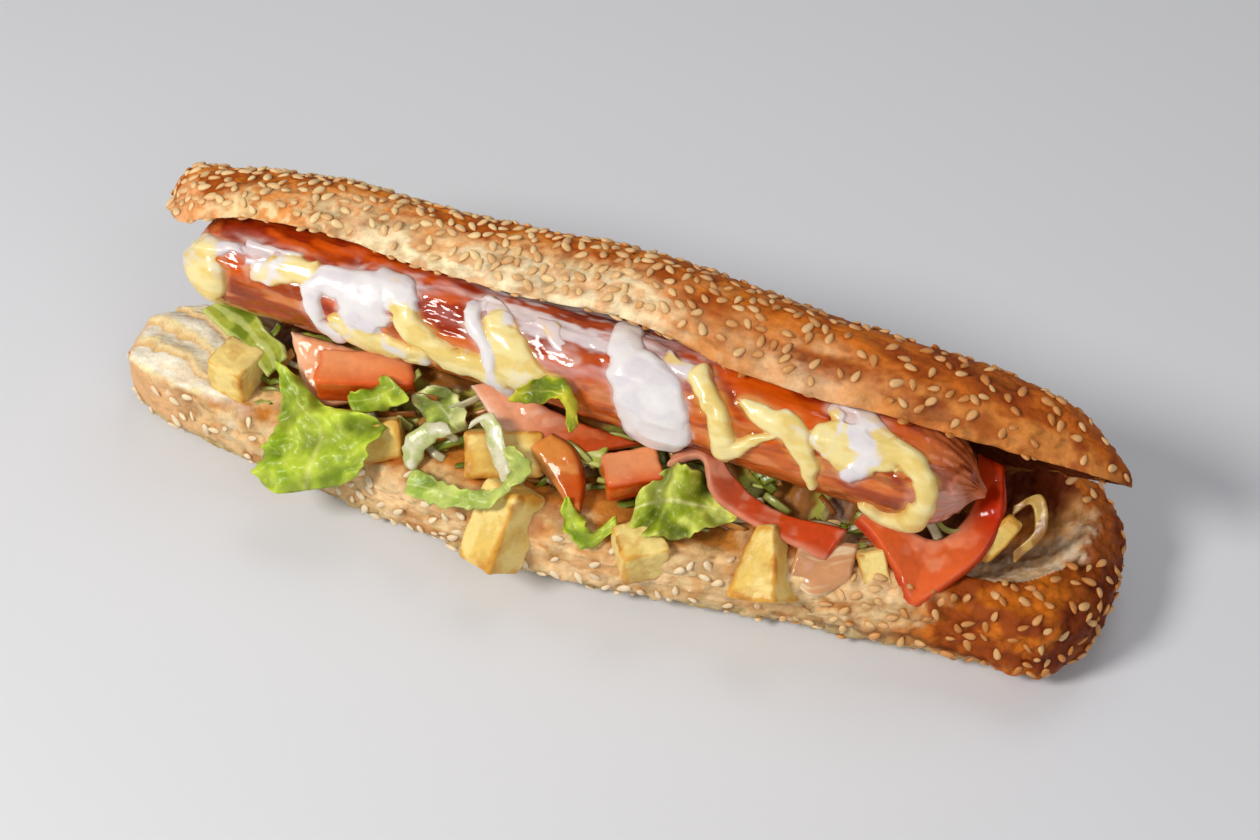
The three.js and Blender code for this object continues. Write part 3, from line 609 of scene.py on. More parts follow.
def heel_shape():
    s = stations(HEEL_ROWS)
    grid, p, top = heel_points(s, heel_columns()[None])
    hollow = scooped(grid)
    x, y, z = grid[..., 0], grid[..., 1], grid[..., 2]
    wobble = fractal(grid, 6, 3, 3)
    blunt = step(66, 88, x)
    cut = np.where(top, step(0.98, 0.9, np.abs(p) + 0.05 * wobble + 0.6 * blunt), 0)
    cut = np.maximum(cut, step(0.0, 0.05, hollow)) * step(1.0, 0.965, np.abs(s) + 0.01 * wobble)
    torn = cut * top * step(-97, -104, x + 2 * wobble)
    ridge = torn_ridges(grid)
    steps = 1.8 * step(0.0, 0.2, ridge) * (1 - 0.75 * ridge) - 0.7
    flaky = step(0.05, 0.25, fractal(grid, (6, 4, 4), 76, 4) + 0.1 + 0.4 * hump(x, 70, 12)) * (1 - cut)
    flaky = flaky * step(-112, -96, x) * step(96, 76, x)
    relief = crust_relief(grid, 21) * (1 - cut) * (0.5 + 0.5 * step(-128, -108, x))
    relief = relief + crumb_relief(grid, 41) * cut * (1 - 0.6 * torn) + steps * torn
    relief = relief + 0.65 * flaky + 0.35 * flaky * fractal(grid, 1.8, 77, 2)
    ragged = 0.9 * fractal(grid, (4, 3, 3), 61, 3) * hump(np.abs(p), 0.93, 0.06) * top
    ragged = ragged + 1.1 * fractal(grid, (3, 3, 3), 62, 2) * blunt * hump(hollow, 0.03, 0.05)
    grid = grid + tube_normals(grid) * (relief + ragged)[..., None] * step(0, 2.5, z)[..., None]
    grid[..., 2] = np.maximum(grid[..., 2], 0)
    mottle, fine = fractal(grid, (9, 6, 6), 71, 4), fractal(grid, 2.2, 72, 3)
    crust = heel_crust(grid, x, y, z, mottle, fine, flaky)
    face = heel_face(grid, x, y, mottle, fine, wobble, hollow, ridge)
    # Painted shade: darker in the dips of the crust and crumb, though not on the torn steps
    colour = shaded(mixed(crust, face, cut), 0.3 * step(0.1, 0.7, -relief) * (1 - torn))
    return closed_tube(grid, colour), grid, cut, x


def lid_colour(grid, x, p, top, cut, busy):
    """Orange-brown over the crown, paler down the front, darker towards the right tip."""
    mottle, fine = fractal(grid, (12, 7, 7), 171, 4), fractal(grid, 2.2, 172, 3)
    right = step(-10, 95, x)
    high = np.where(top, bulge(p, 2.3), 0)
    lower = step(0.76, 0.42, high + 0.2 * mottle + 0.08 * fine + 0.2 * right)
    creamy = step(-90, -50, x) * (step(26, 4, x) + 0.35 * hump(x, 52, 14))
    crown = painted(
        mixed((224, 128, 30), (176, 84, 12), step(-0.5, 0.5, mottle + 0.5 * fine)),
        (mixed((194, 98, 22), (144, 60, 8), step(-0.5, 0.5, mottle)), right * 0.9),
    )
    band = painted(
        mixed((230, 150, 76), CREAM, step(-0.3, 0.5, fine + 0.4 * mottle + 0.7 * creamy - 0.1)),
        ((204, 134, 74), 0.6 * step(4, 26, x) * (1 - creamy)),
        (mixed((212, 132, 58), (174, 86, 22), step(-0.3, 0.4, mottle)), right * 0.9),
    )
    # Stained crumb on the cut face, with painted shade darkening it towards the right, pale only along the
    # rim
    face = painted(
        mixed(CRUMB, STAIN, step(-0.4, 0.5, mottle + 0.3)),
        (mixed(SHADE_BROWN, (214, 176, 126), step(0.66, 0.8, p + 0.06 * mottle)), step(40, 74, x)),
    )
    return painted(
        crown,
        (band, lower),
        ((250, 230, 188), 0.9 * creamy * step(0.55, 0.25, high + 0.25 * mottle)),
        ((222, 150, 82), 0.55 * busy * lower * patches(grid, (4, 2.5, 2.5), 173, 0.1, 0.45)),
        ((240, 172, 116), 0.8 * lower * step(-98, -112, x + 4 * mottle)),
        ((130, 56, 12), 0.7 * step(118, 134, x + 4 * mottle)),
        (face, cut),
    )


def lid_shape():
    crown = np.linspace(0, 0.5, LID_CROWN, endpoint=False)
    face = np.linspace(0.5, 1, LID_FACE, endpoint=False)
    grid, p, top = lid_points(stations(LID_ROWS), np.concatenate([crown, face])[None])
    x = grid[..., 0]
    cut = np.where(top, 0, step(0.9, 0.78, p + 0.03 * fractal(grid, 5, 103, 3)))
    relief = crust_relief(grid, 121) * (1 - cut) + crumb_relief(grid, 141) * cut
    # The rim is torn and wavy, and droops over the filling in the middle
    busy = step(-90, -50, x) * step(110, 40, x)
    lip = hump(p, 1.0, 0.1)
    flakes = 0.9 * fractal(grid, (5, 3, 3), 161, 4) + 0.5 * np.abs(noise(grid, (3.5, 3, 3), 165))
    wavy = 0.8 * noise(grid, (10, 20, 20), 166)
    drop = 0.5 + 1.6 * step(-80, -50, x) * step(80, 50, x) + 0.5 * np.abs(wavy)
    _, across, out = lid_frame(x)
    grid = raised(grid, relief * (1 - 0.6 * lip))
    grid = grid + across * ((flakes * (0.3 + 0.7 * busy) + wavy) * lip)[..., None]
    grid = grid - out * (drop * hump(p, 1.0, 0.2))[..., None]
    grid = pushed_off_sausage(grid, 1.3)
    # Painted shade: darker in the dips of the crust and crumb
    colour = shaded(lid_colour(grid, x, p, top, cut, busy), 0.35 * step(0.1, 0.7, -relief))
    return closed_tube(grid, colour), grid, cut, x


def hinge_shape():
    grid = hinge_points((stations(HINGE_ROWS) + 1) / 2,
                        np.linspace(0, 1, HINGE_COLUMNS, endpoint=False)[None])
    relief = crust_relief(grid, 181) + 0.6 * fractal(grid, 5, 182, 3)
    grid = pushed_off_sausage(raised(grid, relief), SAUSAGE["room"])
    mottle = fractal(grid, (9, 6, 6), 183, 4)
    outer = step(20, 30, grid[..., 1] + 2 * mottle)
    # Painted shade: the hinge's inner side between the halves is dark brown; its back is golden crust
    inner = mixed((150, 96, 40), SHADE_BROWN, step(-0.3, 0.6, mottle + 0.2))
    colour = mixed(inner, mixed((210, 118, 34), (164, 80, 16), step(-0.6, 0.6, mottle)), outer)
    return closed_tube(grid, colour), grid, outer


# ---- Sausage -----------------------------------------------------------------------

LEFT, RIGHT = np.array(SAUSAGE["left"], float), np.array(SAUSAGE["right"], float)
LENGTH = float(np.linalg.norm(RIGHT - LEFT))
ALONG = (RIGHT - LEFT) / LENGTH
UPWARD = unit(np.array([0, 0, 1.0]) - ALONG * ALONG[2])
OPEN_SIDE = np.cross(ALONG, UPWARD)
GIRTH = TAU * SAUSAGE["radius"]


def axis_at(f):
    bow = SAUSAGE["bow"] * 4 * f * (1 - f)
    return LEFT + (RIGHT - LEFT) * f[..., None] + bow[..., None] * np.array([0, 0, 1])


def pushed_off_sausage(points, room):
    """Points moved out of the room kept over the skin of the sausage."""
    f = np.clip(((points - LEFT) @ ALONG) / LENGTH, 0.0, 1.0)
    off = points - axis_at(f)
    radius = np.linalg.norm(off, axis=-1)
    push = np.maximum(SAUSAGE["radius"] + room - radius, 0)
    return points + (off / (radius[..., None] + 1e-9)) * push[..., None]


def skin_radius(f, around):
    from_left = f * LENGTH / SAUSAGE["radius"]
    from_right = (1 - f) * LENGTH / (1.2 * SAUSAGE["radius"])
    left = np.where(from_left < 1, np.sqrt(np.maximum(1 - (1 - from_left) ** 2, 0)), 1)
    right = np.where(from_right < 1, np.maximum(1 - np.abs(1 - from_right) ** 2.2, 0) ** 0.62, 1)
    gather = np.where(from_right < 1, 0.03 * (1 - from_right) * np.sin(14 * math.pi * around), 0)
    return SAUSAGE["radius"] * left * right * (1 + gather)


def on_sausage(f, around, height):
    turn = TAU * around
    radius = height + skin_radius(f, around)
    ring = np.cos(turn)[..., None] * UPWARD + np.sin(turn)[..., None] * OPEN_SIDE
    return axis_at(f) + radius[..., None] * ring


def surface_place(l, w):
    """Flat coordinates on the skin, in mm, as a place for noise."""
    return np.stack([l, w, 0 * l], -1)


def veil_share(l, w):
    """Share of thin white film over the skin at flat coordinates."""
    flat = surface_place(l, w)
    streak = fractal(flat + 1.5 * noise(flat, 9, 303)[..., None], (13, 2.2, 1), 301, 4)
    patch = fractal(flat, (9, 5, 1), 302, 3)
    film = 1.9 * hump(l, 105, 19) * hump(w, -1, 9.5)
    film += 0.8 * hump(l, 137, 7) * hump(w, 3, 4) + 0.9 * hump(l, 184, 8) * hump(w, -2.5, 3)
    film += 0.9 * hump(l, 20, 9) * hump(w, 7, 2.6) + 0.6 * hump(l, 60, 13) * hump(w, 3, 2.5)
    film += 0.5 * hump(l, 121, 6) * hump(w, -1, 5)
    return np.clip(film * (0.75 + 1.5 * streak + 0.8 * patch), 0, 1), np.clip(film, 0, 1)


def sausage_colour(grid, l, w, ketchup, pools, tip):
    """Brown skin with red ketchup over the top, pink meat at the right end, and smears of sauce."""
    flat = surface_place(l, w)
    mottle = fractal(flat, (16, 3.5, 1), 317, 4) * (1 - tip) + fractal(grid, 7, 326, 3) * tip
    bare = painted(
        mixed((200, 98, 36), (156, 62, 14), step(-0.4, 0.5, mottle)),
        ((222, 146, 86), patches(flat, (12, 3, 1), 318, 0.2, 0.7) * 0.5 * (1 - tip)),
        ((106, 42, 12), 0.45 * patches(flat, (7, 3, 1), 322, 0.3, 0.8, 4) * (1 - tip)),
    )
    red = mixed((208, 84, 8), (150, 42, 2), step(-0.35, 0.5, 0.6 * mottle - pools * (1 - tip)))
    outward = (grid - axis_at(l / LENGTH)) @ (0.75 * OPEN_SIDE - 0.35 * UPWARD + 0.5 * ALONG)
    pink = mixed((206, 150, 132), (168, 104, 84), patches(grid, (2, 2, 5), 323, -0.3, 0.5))
    meat = painted(
        mixed((196, 104, 56), (150, 66, 28), patches(grid, (5, 3, 3), 319, -0.4, 0.5)),
        (pink, step(0.05, 0.45, outward / 13)),
    )
    sauce, white = sauce_field(l, w)
    halo = step(-0.85, -0.05, sauce) * (0.5 + 0.6 * fractal(flat, (6, 2.5, 1), 321, 3))
    veil, dulled = veil_share(l, w)
    # Painted shade: the bare skin is darker low on the front of the sausage
    colour = painted(
        shaded(bare, 0.3 * step(20, 30, w)),
        (red, ketchup),
        (meat, step(*MEAT_END, l) * (1 - 0.8 * ketchup)),
        (mixed((216, 146, 60), (222, 176, 166), white), np.clip(halo, 0, 0.8)),
        ((140, 70, 56), 0.55 * dulled),
        ((222, 208, 208), 0.92 * veil),
    )
    return colour, 0.75 + 0.5 * step(-0.2, 0.4, mottle)


MEAT_END = (194, 204)


def sausage_shape():
    f = (stations(SAUSAGE_ROWS, 0.35) + 1) / 2 + np.zeros((1, SAUSAGE_COLUMNS))
    around = np.linspace(-0.5, 0.5, SAUSAGE_COLUMNS, endpoint=False)[None] + 0 * f
    grid = on_sausage(f, around, np.zeros_like(f))
    l, w = f * LENGTH, around * GIRTH
    flat = surface_place(l, w)
    edge = 15 + 3.4 * noise(flat, (16, 90, 1), 311) + 3.2 * fractal(flat, (9, 5, 1), 312, 3)
    ketchup = step(1.2, -1.2, np.abs(w + 2) - edge) * step(4, 10, l + 3 * fractal(grid, 6, 327, 2))
    ketchup = ketchup * step(204, 188, l + 5 * noise(flat, (9, 6, 1), 313))
    pools = fractal(flat, (12, 5, 1), 320, 3)
    ribs = 0.16 * fractal(flat, (30, 3.2, 1), 314, 3)
    wrinkles = 0.1 * (1 - 2 * np.abs(fractal(flat, (4.5, 1.6, 1), 316, 3)))
    dents = 0.22 * fractal(flat, (7, 3.5, 1), 325, 2)
    end, tip = step(*MEAT_END, l), step(13, 7, l)
    gathers = 0.16 * np.sin(52 * math.pi * around + 3 * fractal(grid, 8, 324, 2))
    height = (0.3 + 0.5 * pools) * ketchup + (ribs + wrinkles + dents) * (1 - end) * (1 - tip)
    height = height + end * (0.3 * fractal(grid, (6, 3, 3), 315, 3) + gathers)
    grid = raised(grid, height)
    knot = hump(np.linalg.norm(grid - RIGHT, axis=-1), 0, 2.4)
    grid = grid + (3.4 * knot)[..., None] * unit(ALONG + 0.25 * OPEN_SIDE)
    colour, wet = sausage_colour(grid, l, w, ketchup, pools, tip)
    return closed_tube(grid, colour, wet)


# Sauce lines over the skin: stops (along, across, half width, height) in mm; whiteness 0 is
# mustard and 1 mayonnaise
SAUCES = [
    (0.3, [(8, 10.5, 5, 2), (6.5, 16, 7, 2.8), (9.5, 22, 5.5, 2.2)]),
    (0.8, [(11, 9.5, 2.2, 1.2), (15, 8.5, 1.8, 0.7), (20, 10.5, 1.3, 0.5), (26, 9.5, 1.2, 0.5)]),
    (0.9, [(19, 5.5, 1, 0.5), (26, 6.5, 1.4, 0.6), (33, 5.5, 1, 0.5)]),
    (0.35, [(24, 12.5, 2.6, 0.8), (30, 9.5, 4.2, 1.3), (37, 8, 4, 1.2)]),
    (1.0, [(43, 9, 3.5, 1.3), (50, 8.5, 5, 1.9), (54, 12, 7.2, 2.2), (56, 16, 5.4, 1.6)]),
    (0.9, [(46, 7.5, 2.2, 1.4), (41, 10.5, 2.2, 1.6), (38.5, 15.5, 2.4, 1.6),
           (41.5, 20.5, 2.6, 1.5), (47, 26, 2.8, 1.4)]),
    (0.25, [(47, 19.5, 2.6, 1.2), (53, 22, 4.8, 1.6), (61, 22.5, 5.2, 1.5), (71, 23, 2.8, 1.1)]),
    (0.85, [(57, 6, 3.6, 1.5), (62, 7.5, 4.4, 1.9), (65.5, 9, 3.2, 1.8)]),
    (0.1, [(64, 10, 3, 1.7), (66.5, 13.5, 3.5, 2.2), (72, 17, 3.4, 2.2),
           (80, 20, 3.5, 2), (92, 21.5, 2.8, 1.4)]),
    (0.9, [(82, 4.5, 2, 1.2), (84.5, 9.5, 2.4, 1.8), (88, 15, 2.2, 1.8),
           (91, 21, 2, 1.8), (94.5, 27, 2, 1.4)]),
    (0.8, [(85, 2.5, 2.4, 0.9), (90, 5, 3.2, 1.1)]),
    (0.15, [(89, 7, 3.2, 1.3), (92, 11, 4.6, 1.5), (96, 15.5, 5.6, 1.6),
            (101, 19.5, 5.2, 1.4), (107, 18.5, 2.6, 0.7)]),
    (0.8, [(96, 2.5, 1.4, 0.3), (102, 4, 1.2, 0.35), (107, 7, 1.4, 0.3), (111, 10, 1, 0.25)]),
    (1.0, [(121, -2, 3.2, 1.3), (123, 5, 4.2, 2), (129, 11, 8, 2.4), (133.5, 18, 9, 2.8),
           (134.5, 25, 7, 2.8), (135, 31.5, 4, 2)]),
    (0.7, [(134, 2, 2.4, 0.6), (139, 4, 2.4, 0.7), (143, 5.5, 2.2, 1)]),
    (0.0, [(142, 5, 2.6, 1.7), (147, 9.5, 2.6, 1.9), (150.5, 15, 2.8, 2.1), (152.5, 22, 3.2, 2)]),
    (0.0, [(152.5, 22, 2.6, 1.8), (156.5, 18, 2, 1.6), (160.5, 15, 1.3, 1.2), (164, 13, 0.8, 0.7)]),
    (0.1, [(155, 8, 1.4, 1.1), (160.5, 9, 2.8, 1.7), (167, 11, 3.2, 1.9),
           (172, 16, 2.2, 1.7), (176, 24, 1.3, 1.4)]),
    (0.25, [(175, 10.5, 3.6, 1.3), (180, 10, 5.6, 1.7), (187, 10.5, 5, 1.6), (192, 11, 3, 1.4)]),
    (0.7, [(177, 2.5, 2.6, 0.8), (184, 4, 4.4, 1), (190, 6.5, 3, 1.1)]),
    (1.0, [(182, 7, 3, 1.6), (187.5, 10.5, 3.6, 2.1), (184.5, 15.5, 2.6, 1.7)]),
    (0.0, [(189, 8.5, 3, 1.7), (194, 7.5, 3.2, 2), (199, 10, 3.1, 2.2), (202, 15.5, 2.9, 2.4),
           (201.5, 22, 3.1, 2.6), (198, 28, 3.4, 2.6), (192.5, 29.5, 2.8, 2), (188.5, 26.5, 1.8, 1.2)]),
]
LINE_BLEND = 0.22      # mm over which two lines melt into one
OUTSIDE = -1.2         # height given to places far from every line
SAUCE_REACH = 12       # mm beyond a line's stops in which it is looked for
SAUCE_WIDTH = (-8, 37)  # mm across the skin between which sauce may lie


def sauce_field(l, w):
    """Height of the sauce lines at flat coordinates, below 0 outside them, and their whiteness."""
    flat = surface_place(l, w)
    wl = l + 1.0 * fractal(flat, 8, 401, 2) + 0.5 * noise(flat, 2.8, 405)
    ww = w + 1.0 * fractal(flat, 8, 402, 2) + 0.5 * noise(flat, 2.8, 406)
    total, white = np.zeros_like(l), np.zeros_like(l)
    for whiteness, stops in SAUCES:
        path = spline(stops, np.linspace(0, 1, 14 * (len(stops) - 1) + 1))
        near = np.ones(l.shape, bool)
        for place, stop in ((wl, path[:, 0]), (ww, path[:, 1])):
            near &= (place > stop.min() - SAUCE_REACH) & (place < stop.max() + SAUCE_REACH)
        gap = np.hypot(wl[near][:, None] - path[:, 0], ww[near][:, None] - path[:, 1])
        best = (gap / path[:, 2]).argmin(1)
        gap = gap[np.arange(len(best)), best]
        q = gap / path[best, 2]
        bead = path[best, 3] * np.maximum(1 - q**2.4, 0) ** 0.6
        height = np.where(q < 1, bead, -0.45 * (gap - path[best, 2]))
        weight = np.exp(np.maximum(height, OUTSIDE) / LINE_BLEND)
        total[near] += weight
        white[near] += weight * whiteness
    height = np.where(total > 0, LINE_BLEND * np.log(np.maximum(total, 1e-9)), OUTSIDE)
    height = np.maximum(height, OUTSIDE)
    thin = step(1.5, 0.5, height)
    height = height - 1.0 * step(0.45, 0.8, fractal(flat, (6, 3.5, 1), 407, 2)) * thin
    return height, white / np.maximum(total, 1e-9)


def sauce_colour(flat, height, white):
    """Marbled mustard and mayonnaise, stained by ketchup where they are thin."""
    thin = step(1.1, 0.0, height)
    yellow = painted(
        mixed((240, 222, 156), (226, 194, 100), patches(flat, (7, 3, 1), 410, -0.3, 0.7) * 0.7),
        ((222, 160, 62), 0.6 * thin),
    )
    cream = painted(
        mixed((230, 225, 224), (226, 192, 188), 0.6 * thin),
        ((214, 206, 214), 0.5 * patches(flat, (8, 4, 1), 411, 0.1, 0.6)),
    )
    return mixed(yellow, cream, step(0.25, 0.75, white)).reshape(-1, 3)


def between(top, under, keep, colour):
    """Closed shape between two grids, with only the cells to keep."""
    rows, columns = top.shape[:2]
    count = rows * columns
    quads = grid_cells(np.arange(count).reshape(rows, columns))[keep]
    edges = np.vstack([quads[:, [n, (n + 1) % 4]] for n in range(4)])
    key = np.sort(edges, 1)
    key = key[:, 0] * count + key[:, 1]
    _, first, counts = np.unique(key, return_index=True, return_counts=True)
    rim = edges[first[counts == 1]]
    walls = np.stack([rim[:, 1], rim[:, 0], rim[:, 0] + count, rim[:, 1] + count], -1)
    quads = np.vstack([quads, quads[:, ::-1] + count, walls])
    points = np.vstack([top.reshape(-1, 3), under.reshape(-1, 3)])
    used, quads = np.unique(quads, return_inverse=True)
    quads = quads.reshape(-1, 4)
    points, colour = points[used], np.vstack([colour, colour])[used]
    if volume_sign(points, quads) < 0:
        quads = quads[:, ::-1]
    return Shape(points, quads, colour)


def sauce_shape():
    l, w = np.meshgrid(np.linspace(0.4, LENGTH - 0.4, SAUCE_ROWS),
                       np.linspace(*SAUCE_WIDTH, SAUCE_COLUMNS), indexing="ij")
    flat = surface_place(l, w)
    height, white = sauce_field(l, w)
    swirl = fractal(flat + 2 * fractal(flat, 8, 408, 2)[..., None], (9, 3.5, 1), 403, 2)
    white = np.clip(white + 0.5 * swirl * np.sqrt(white * (1 - white) * 4 + 0.03), 0, 1)
    skin = on_sausage(l / LENGTH, w / GIRTH, np.zeros_like(l))
    n = sheet_normals(skin)
    n = n * np.sign((n * (skin - axis_at(l / LENGTH))).sum())
    ridges = 1 - 2 * np.abs(noise(flat, (9, 4, 1), 409))
    lumpy = 0.22 * fractal(flat, (8, 5, 1), 404, 2) + 0.12 * ridges
    swell = lumpy * step(0, 0.6, height) * (0.5 + 0.4 * height)
    lift = np.where(height > 0, 0.45 + height + swell, 0.45 + 3.5 * height)
    top = skin + n * np.maximum(lift, -0.9)[..., None]
    keep = grid_cells(height).max(-1) > -0.4
    return between(top, skin - n * 1.2, keep, sauce_colour(flat, height, white))


# ---- Filling -----------------------------------------------------------------------

def on_slope(abh):
    abh = np.asarray(abh, float)
    a, b, h = abh[..., 0], abh[..., 1], abh[..., 2]
    y = through(FOOT_Y, a) + RUN * b - RISE * h
    return np.stack([a, y, FOOT_Z + RISE * b + RUN * h], -1)


OUTWARD = np.array([0, -RISE, RUN])


def turned(points, turns):
    """Points turned about Z, then Y, then X, then leant back with the slope."""
    tx, ty, tz = turns
    for axis, angle in ((2, tz), (1, ty), (0, tx), (0, math.atan2(RISE, RUN))):
        c, s = math.cos(angle), math.sin(angle)
        i, j = [(1, 2), (2, 0), (0, 1)][axis]
        a, b = points[..., i].copy(), points[..., j].copy()
        points[..., i], points[..., j] = c * a - s * b, s * a + c * b
    return points


def cube_grid(n):
    """Points and quads of a cube from -1 to 1 with n steps along each edge."""
    t = np.linspace(-1, 1, n + 1)
    points, quads = [], []
    for axis in range(3):
        for side in (-1, 1):
            a, b = np.meshgrid(t, t, indexing="ij")
            face = np.zeros((n + 1, n + 1, 3))
            face[..., axis] = side
            face[..., (axis + 1) % 3] = a
            face[..., (axis + 2) % 3] = b
            ids = np.arange((n + 1) ** 2).reshape(n + 1, n + 1) + sum(len(p) for p in points)
            q = grid_cells(ids).reshape(-1, 4)
            points.append(face.reshape(-1, 3))
            quads.append(q if side > 0 else q[:, ::-1])
    points, quads = np.vstack(points), np.vstack(quads)
    key = np.round((points + 1) * n * 4).astype(np.int64)
    key = key[:, 0] * 10**8 + key[:, 1] * 10**4 + key[:, 2]
    _, first, back = np.unique(key, return_index=True, return_inverse=True)
    return points[first], back[quads]


def chunk_shape(centre, size, turns, look, seed, narrow=0.0, sharp=12, rough=0.25):
    """A cut block with worn edges at a place on the slope; narrow slims it along its Y."""
    cube, quads = cube_grid(CUBE_STEPS)
    worn = (np.abs(cube) ** sharp).sum(1) ** (-1 / sharp)
    p = cube * worn[:, None]
    p = p * (1 + 0.03 * np.sin(cube[:, :1] * 3 + centre[0]) * np.sin(cube[:, 1:2] * 4 + centre[1]))
    slim = (1 - narrow * p[:, 1:2])
    p = p * np.concatenate([slim, np.ones_like(slim), slim], 1) * np.array(size) / 2
    edge = np.sort(np.abs(cube), 1)[:, 1]
    relief = rough * fractal(p + seed * 17, 5, seed, 3) + 0.12 * fractal(p, 1.6, seed + 1, 2)
    p = p + unit(p) * relief[:, None]
    colour, wet = look(p, edge, seed)
    return Shape(turned(p, turns) + on_slope(centre), quads, colour, wet)


def potato_look(p, edge, seed):
    blotch = fractal(p + seed * 13, 6, seed + 60, 3)
    spots = patches(p, 4, seed + 62, 0.25, 0.6)
    pale = step(-0.4, 0.5, blotch + 0.4 * fractal(p, 2, seed + 61, 3))
    colour = painted(
        mixed((242, 216, 134), (230, 194, 100), pale),
        ((214, 148, 44), 0.8 * step(0.8, 1.0, edge + 0.2 * blotch)),
        ((168, 92, 20), 0.75 * spots * step(0.72, 0.98, edge)),
        ((204, 142, 48), 0.35 * spots),
    )
    return colour, 1.0 - 0.35 * step(-0.2, 0.4, blotch)


def tomato_look(p, edge, seed):
    fibre = fractal(p, (9, 7, 4), seed + 70, 2)
    top = p[:, 2] / np.abs(p[:, 2]).max() + 0.5 * p[:, 1] / np.abs(p[:, 1]).max()
    colour = painted(
        mixed((228, 112, 44), (216, 78, 12), step(-0.5, 0.6, fibre)),
        ((232, 156, 104), 0.85 * step(0.3, 1.1, top + 0.15 * fibre)),
        ((206, 62, 14), 0.45 * step(0.86, 1.0, edge)),
    )
    return colour, 0.8


POTATOES = {
    "potato_left": dict(centre=(-98, 6.8, -1), size=(11.5, 11.5, 13.5), turns=(-0.68, 0.06, -0.25)),
    "potato_behind_leaf": dict(centre=(-53.5, 5, -3), size=(11, 10.5, 9), turns=(0.2, 0.2, 0.3)),
    "potato_upper": dict(centre=(-20.5, 11, -4.5), size=(20, 12, 10), turns=(0.1, 0.2, 0.2)),
    "potato_hanging": dict(centre=(-15.8, -6.8, 0.6), size=(12.5, 22, 12), turns=(0.1, -0.5, -0.22)),
    "potato_front": dict(centre=(19.8, -5, 0.5), size=(12, 11.5, 11.5), turns=(-0.66, 0.05, 0.6)),
    "potato_wedge": dict(centre=(51, -2.2, 0.5), size=(10, 18.5, 10), turns=(0.1, -0.35, 0.12), narrow=0.5),
    "potato_sliver": dict(centre=(77, 1, -2.5), size=(7, 11, 8), turns=(0.2, 0.1, 0.4)),
    "potato_right": dict(centre=(104, 14.5, -5), size=(5, 13, 7), turns=(0.1, 0.2, -0.55), sharp=5),
}
TOMATO_BLOCKS = {
    "tomato_block": dict(centre=(-61.5, 19, -2), size=(25, 10.5, 9.5), turns=(-0.5, 0.1, 0.28)),
    "tomato_corner": dict(centre=(13.5, 13.5, -1), size=(14, 9.5, 9), turns=(-0.5, 0.1, 0.5)),
}


def leafy(deep, light, rib):
    """The look of a leaf in three display colours, veined from a rib along the middle."""
    def look(place, u, v, seed):
        blotch = fractal(place, 10, seed + 80, 3)
        warp = 0.5 * noise(place, 9, seed + 83)
        across = np.abs(v - 0.5 + 0.12 * warp)
        branch = np.abs(np.sin((u * 4.2 + across * 3.6 + 0.5 * warp) * math.pi))
        twig = np.abs(np.sin((u * 9 - across * 9 + 1.2 * warp) * math.pi))
        veins = np.maximum(step(0.045, 0.0, across), 0.7 * step(0.1, 0.0, branch))
        veins = np.maximum(veins, 0.35 * step(0.12, 0.0, twig))
        rim = step(0.1, 0.0, np.minimum(np.minimum(v, 1 - v), np.minimum(u, 1 - u)))
        colour = mixed(deep, light, step(-0.6, 0.5, blotch + 0.25 * fractal(place, 3, seed + 84, 2)))
        return painted(colour, (light, 0.7 * rim), (rib, 0.6 * veins)), 0.95, 0.14 * veins
    return look


green_look = leafy((124, 148, 20), (174, 192, 58), (204, 212, 118))
pale_look = leafy((150, 168, 70), (204, 212, 140), (230, 232, 190))
band_look = leafy((132, 156, 50), (184, 196, 100), (208, 216, 146))
ruffle_look = leafy((134, 150, 24), (196, 206, 92), (224, 226, 158))
hook_look = leafy((116, 134, 10), (186, 182, 42), (206, 204, 100))


def shred_look(place, u, v, seed):
    streak = fractal(place, 3, seed + 81, 3)
    green = step(-0.4, 0.6, streak + 0.3 * np.sin(v * 9))
    return mixed((226, 222, 190), (186, 194, 126), green), 0.8, 0.1 * streak


def stripe_look(place, u, v, seed):
    """Pale stripes along a rib, as on the white part of a leaf."""
    stripes = step(-0.1, 0.5, np.sin(v * 14 + 1.2 * fractal(place, 7, seed + 82, 2)))
    green = mixed((112, 130, 26), (168, 176, 62), patches(place, 5, seed, -0.4, 0.4))
    return mixed(green, (208, 214, 132), 0.55 * stripes), 0.8, 0.2 * stripes


def dry_look(place, u, v, seed):
    streak = fractal(place, 3, seed + 81, 3)
    return mixed((196, 160, 84), (150, 104, 40), step(-0.3, 0.5, streak)), 1.0, 0.1 * streak


def onion_look(place, u, v, seed):
    streak = fractal(np.stack([u * 8, v * 40, 0 * u], -1), (6, 4, 1), seed + 95, 3)
    return mixed((206, 150, 104), (234, 208, 170), step(-0.3, 0.6, streak)), 0.6, 0.12 * streak


def sliced(flesh, pale, skin, change=(0, 1), slant=0, flipped=False):
    """The look of a tomato slice, from its pale inner edge at v 0 to its skin at v 1.

    Flesh and pale are one display colour, or two that change over a range of u."""
    def look(place, u, v, seed):
        along = step(*change, u + slant * (v - 0.5))
        inner, edge = (mixed(*c, along) if len(c) == 2 else c for c in (flesh, pale))
        v = 0.96 - v if flipped else v
        fibre = fractal(place, (7, 5, 5), seed + 90, 3)
        streak = fractal(np.stack([u * 60, v * 6, 0 * u], -1), (4, 4, 1), seed + 91, 2)
        colour = painted(
            mixed(inner, edge, step(0.1, 0.8, fibre + 0.3 * streak) * 0.5),
            (edge, step(0.3, 0.0, v + 0.06 * streak) * 0.6),
            (skin, step(0.86, 1.0, v + 0.03 * fibre)),
        )
        return colour, 0.7, 0.04 * streak
    return look


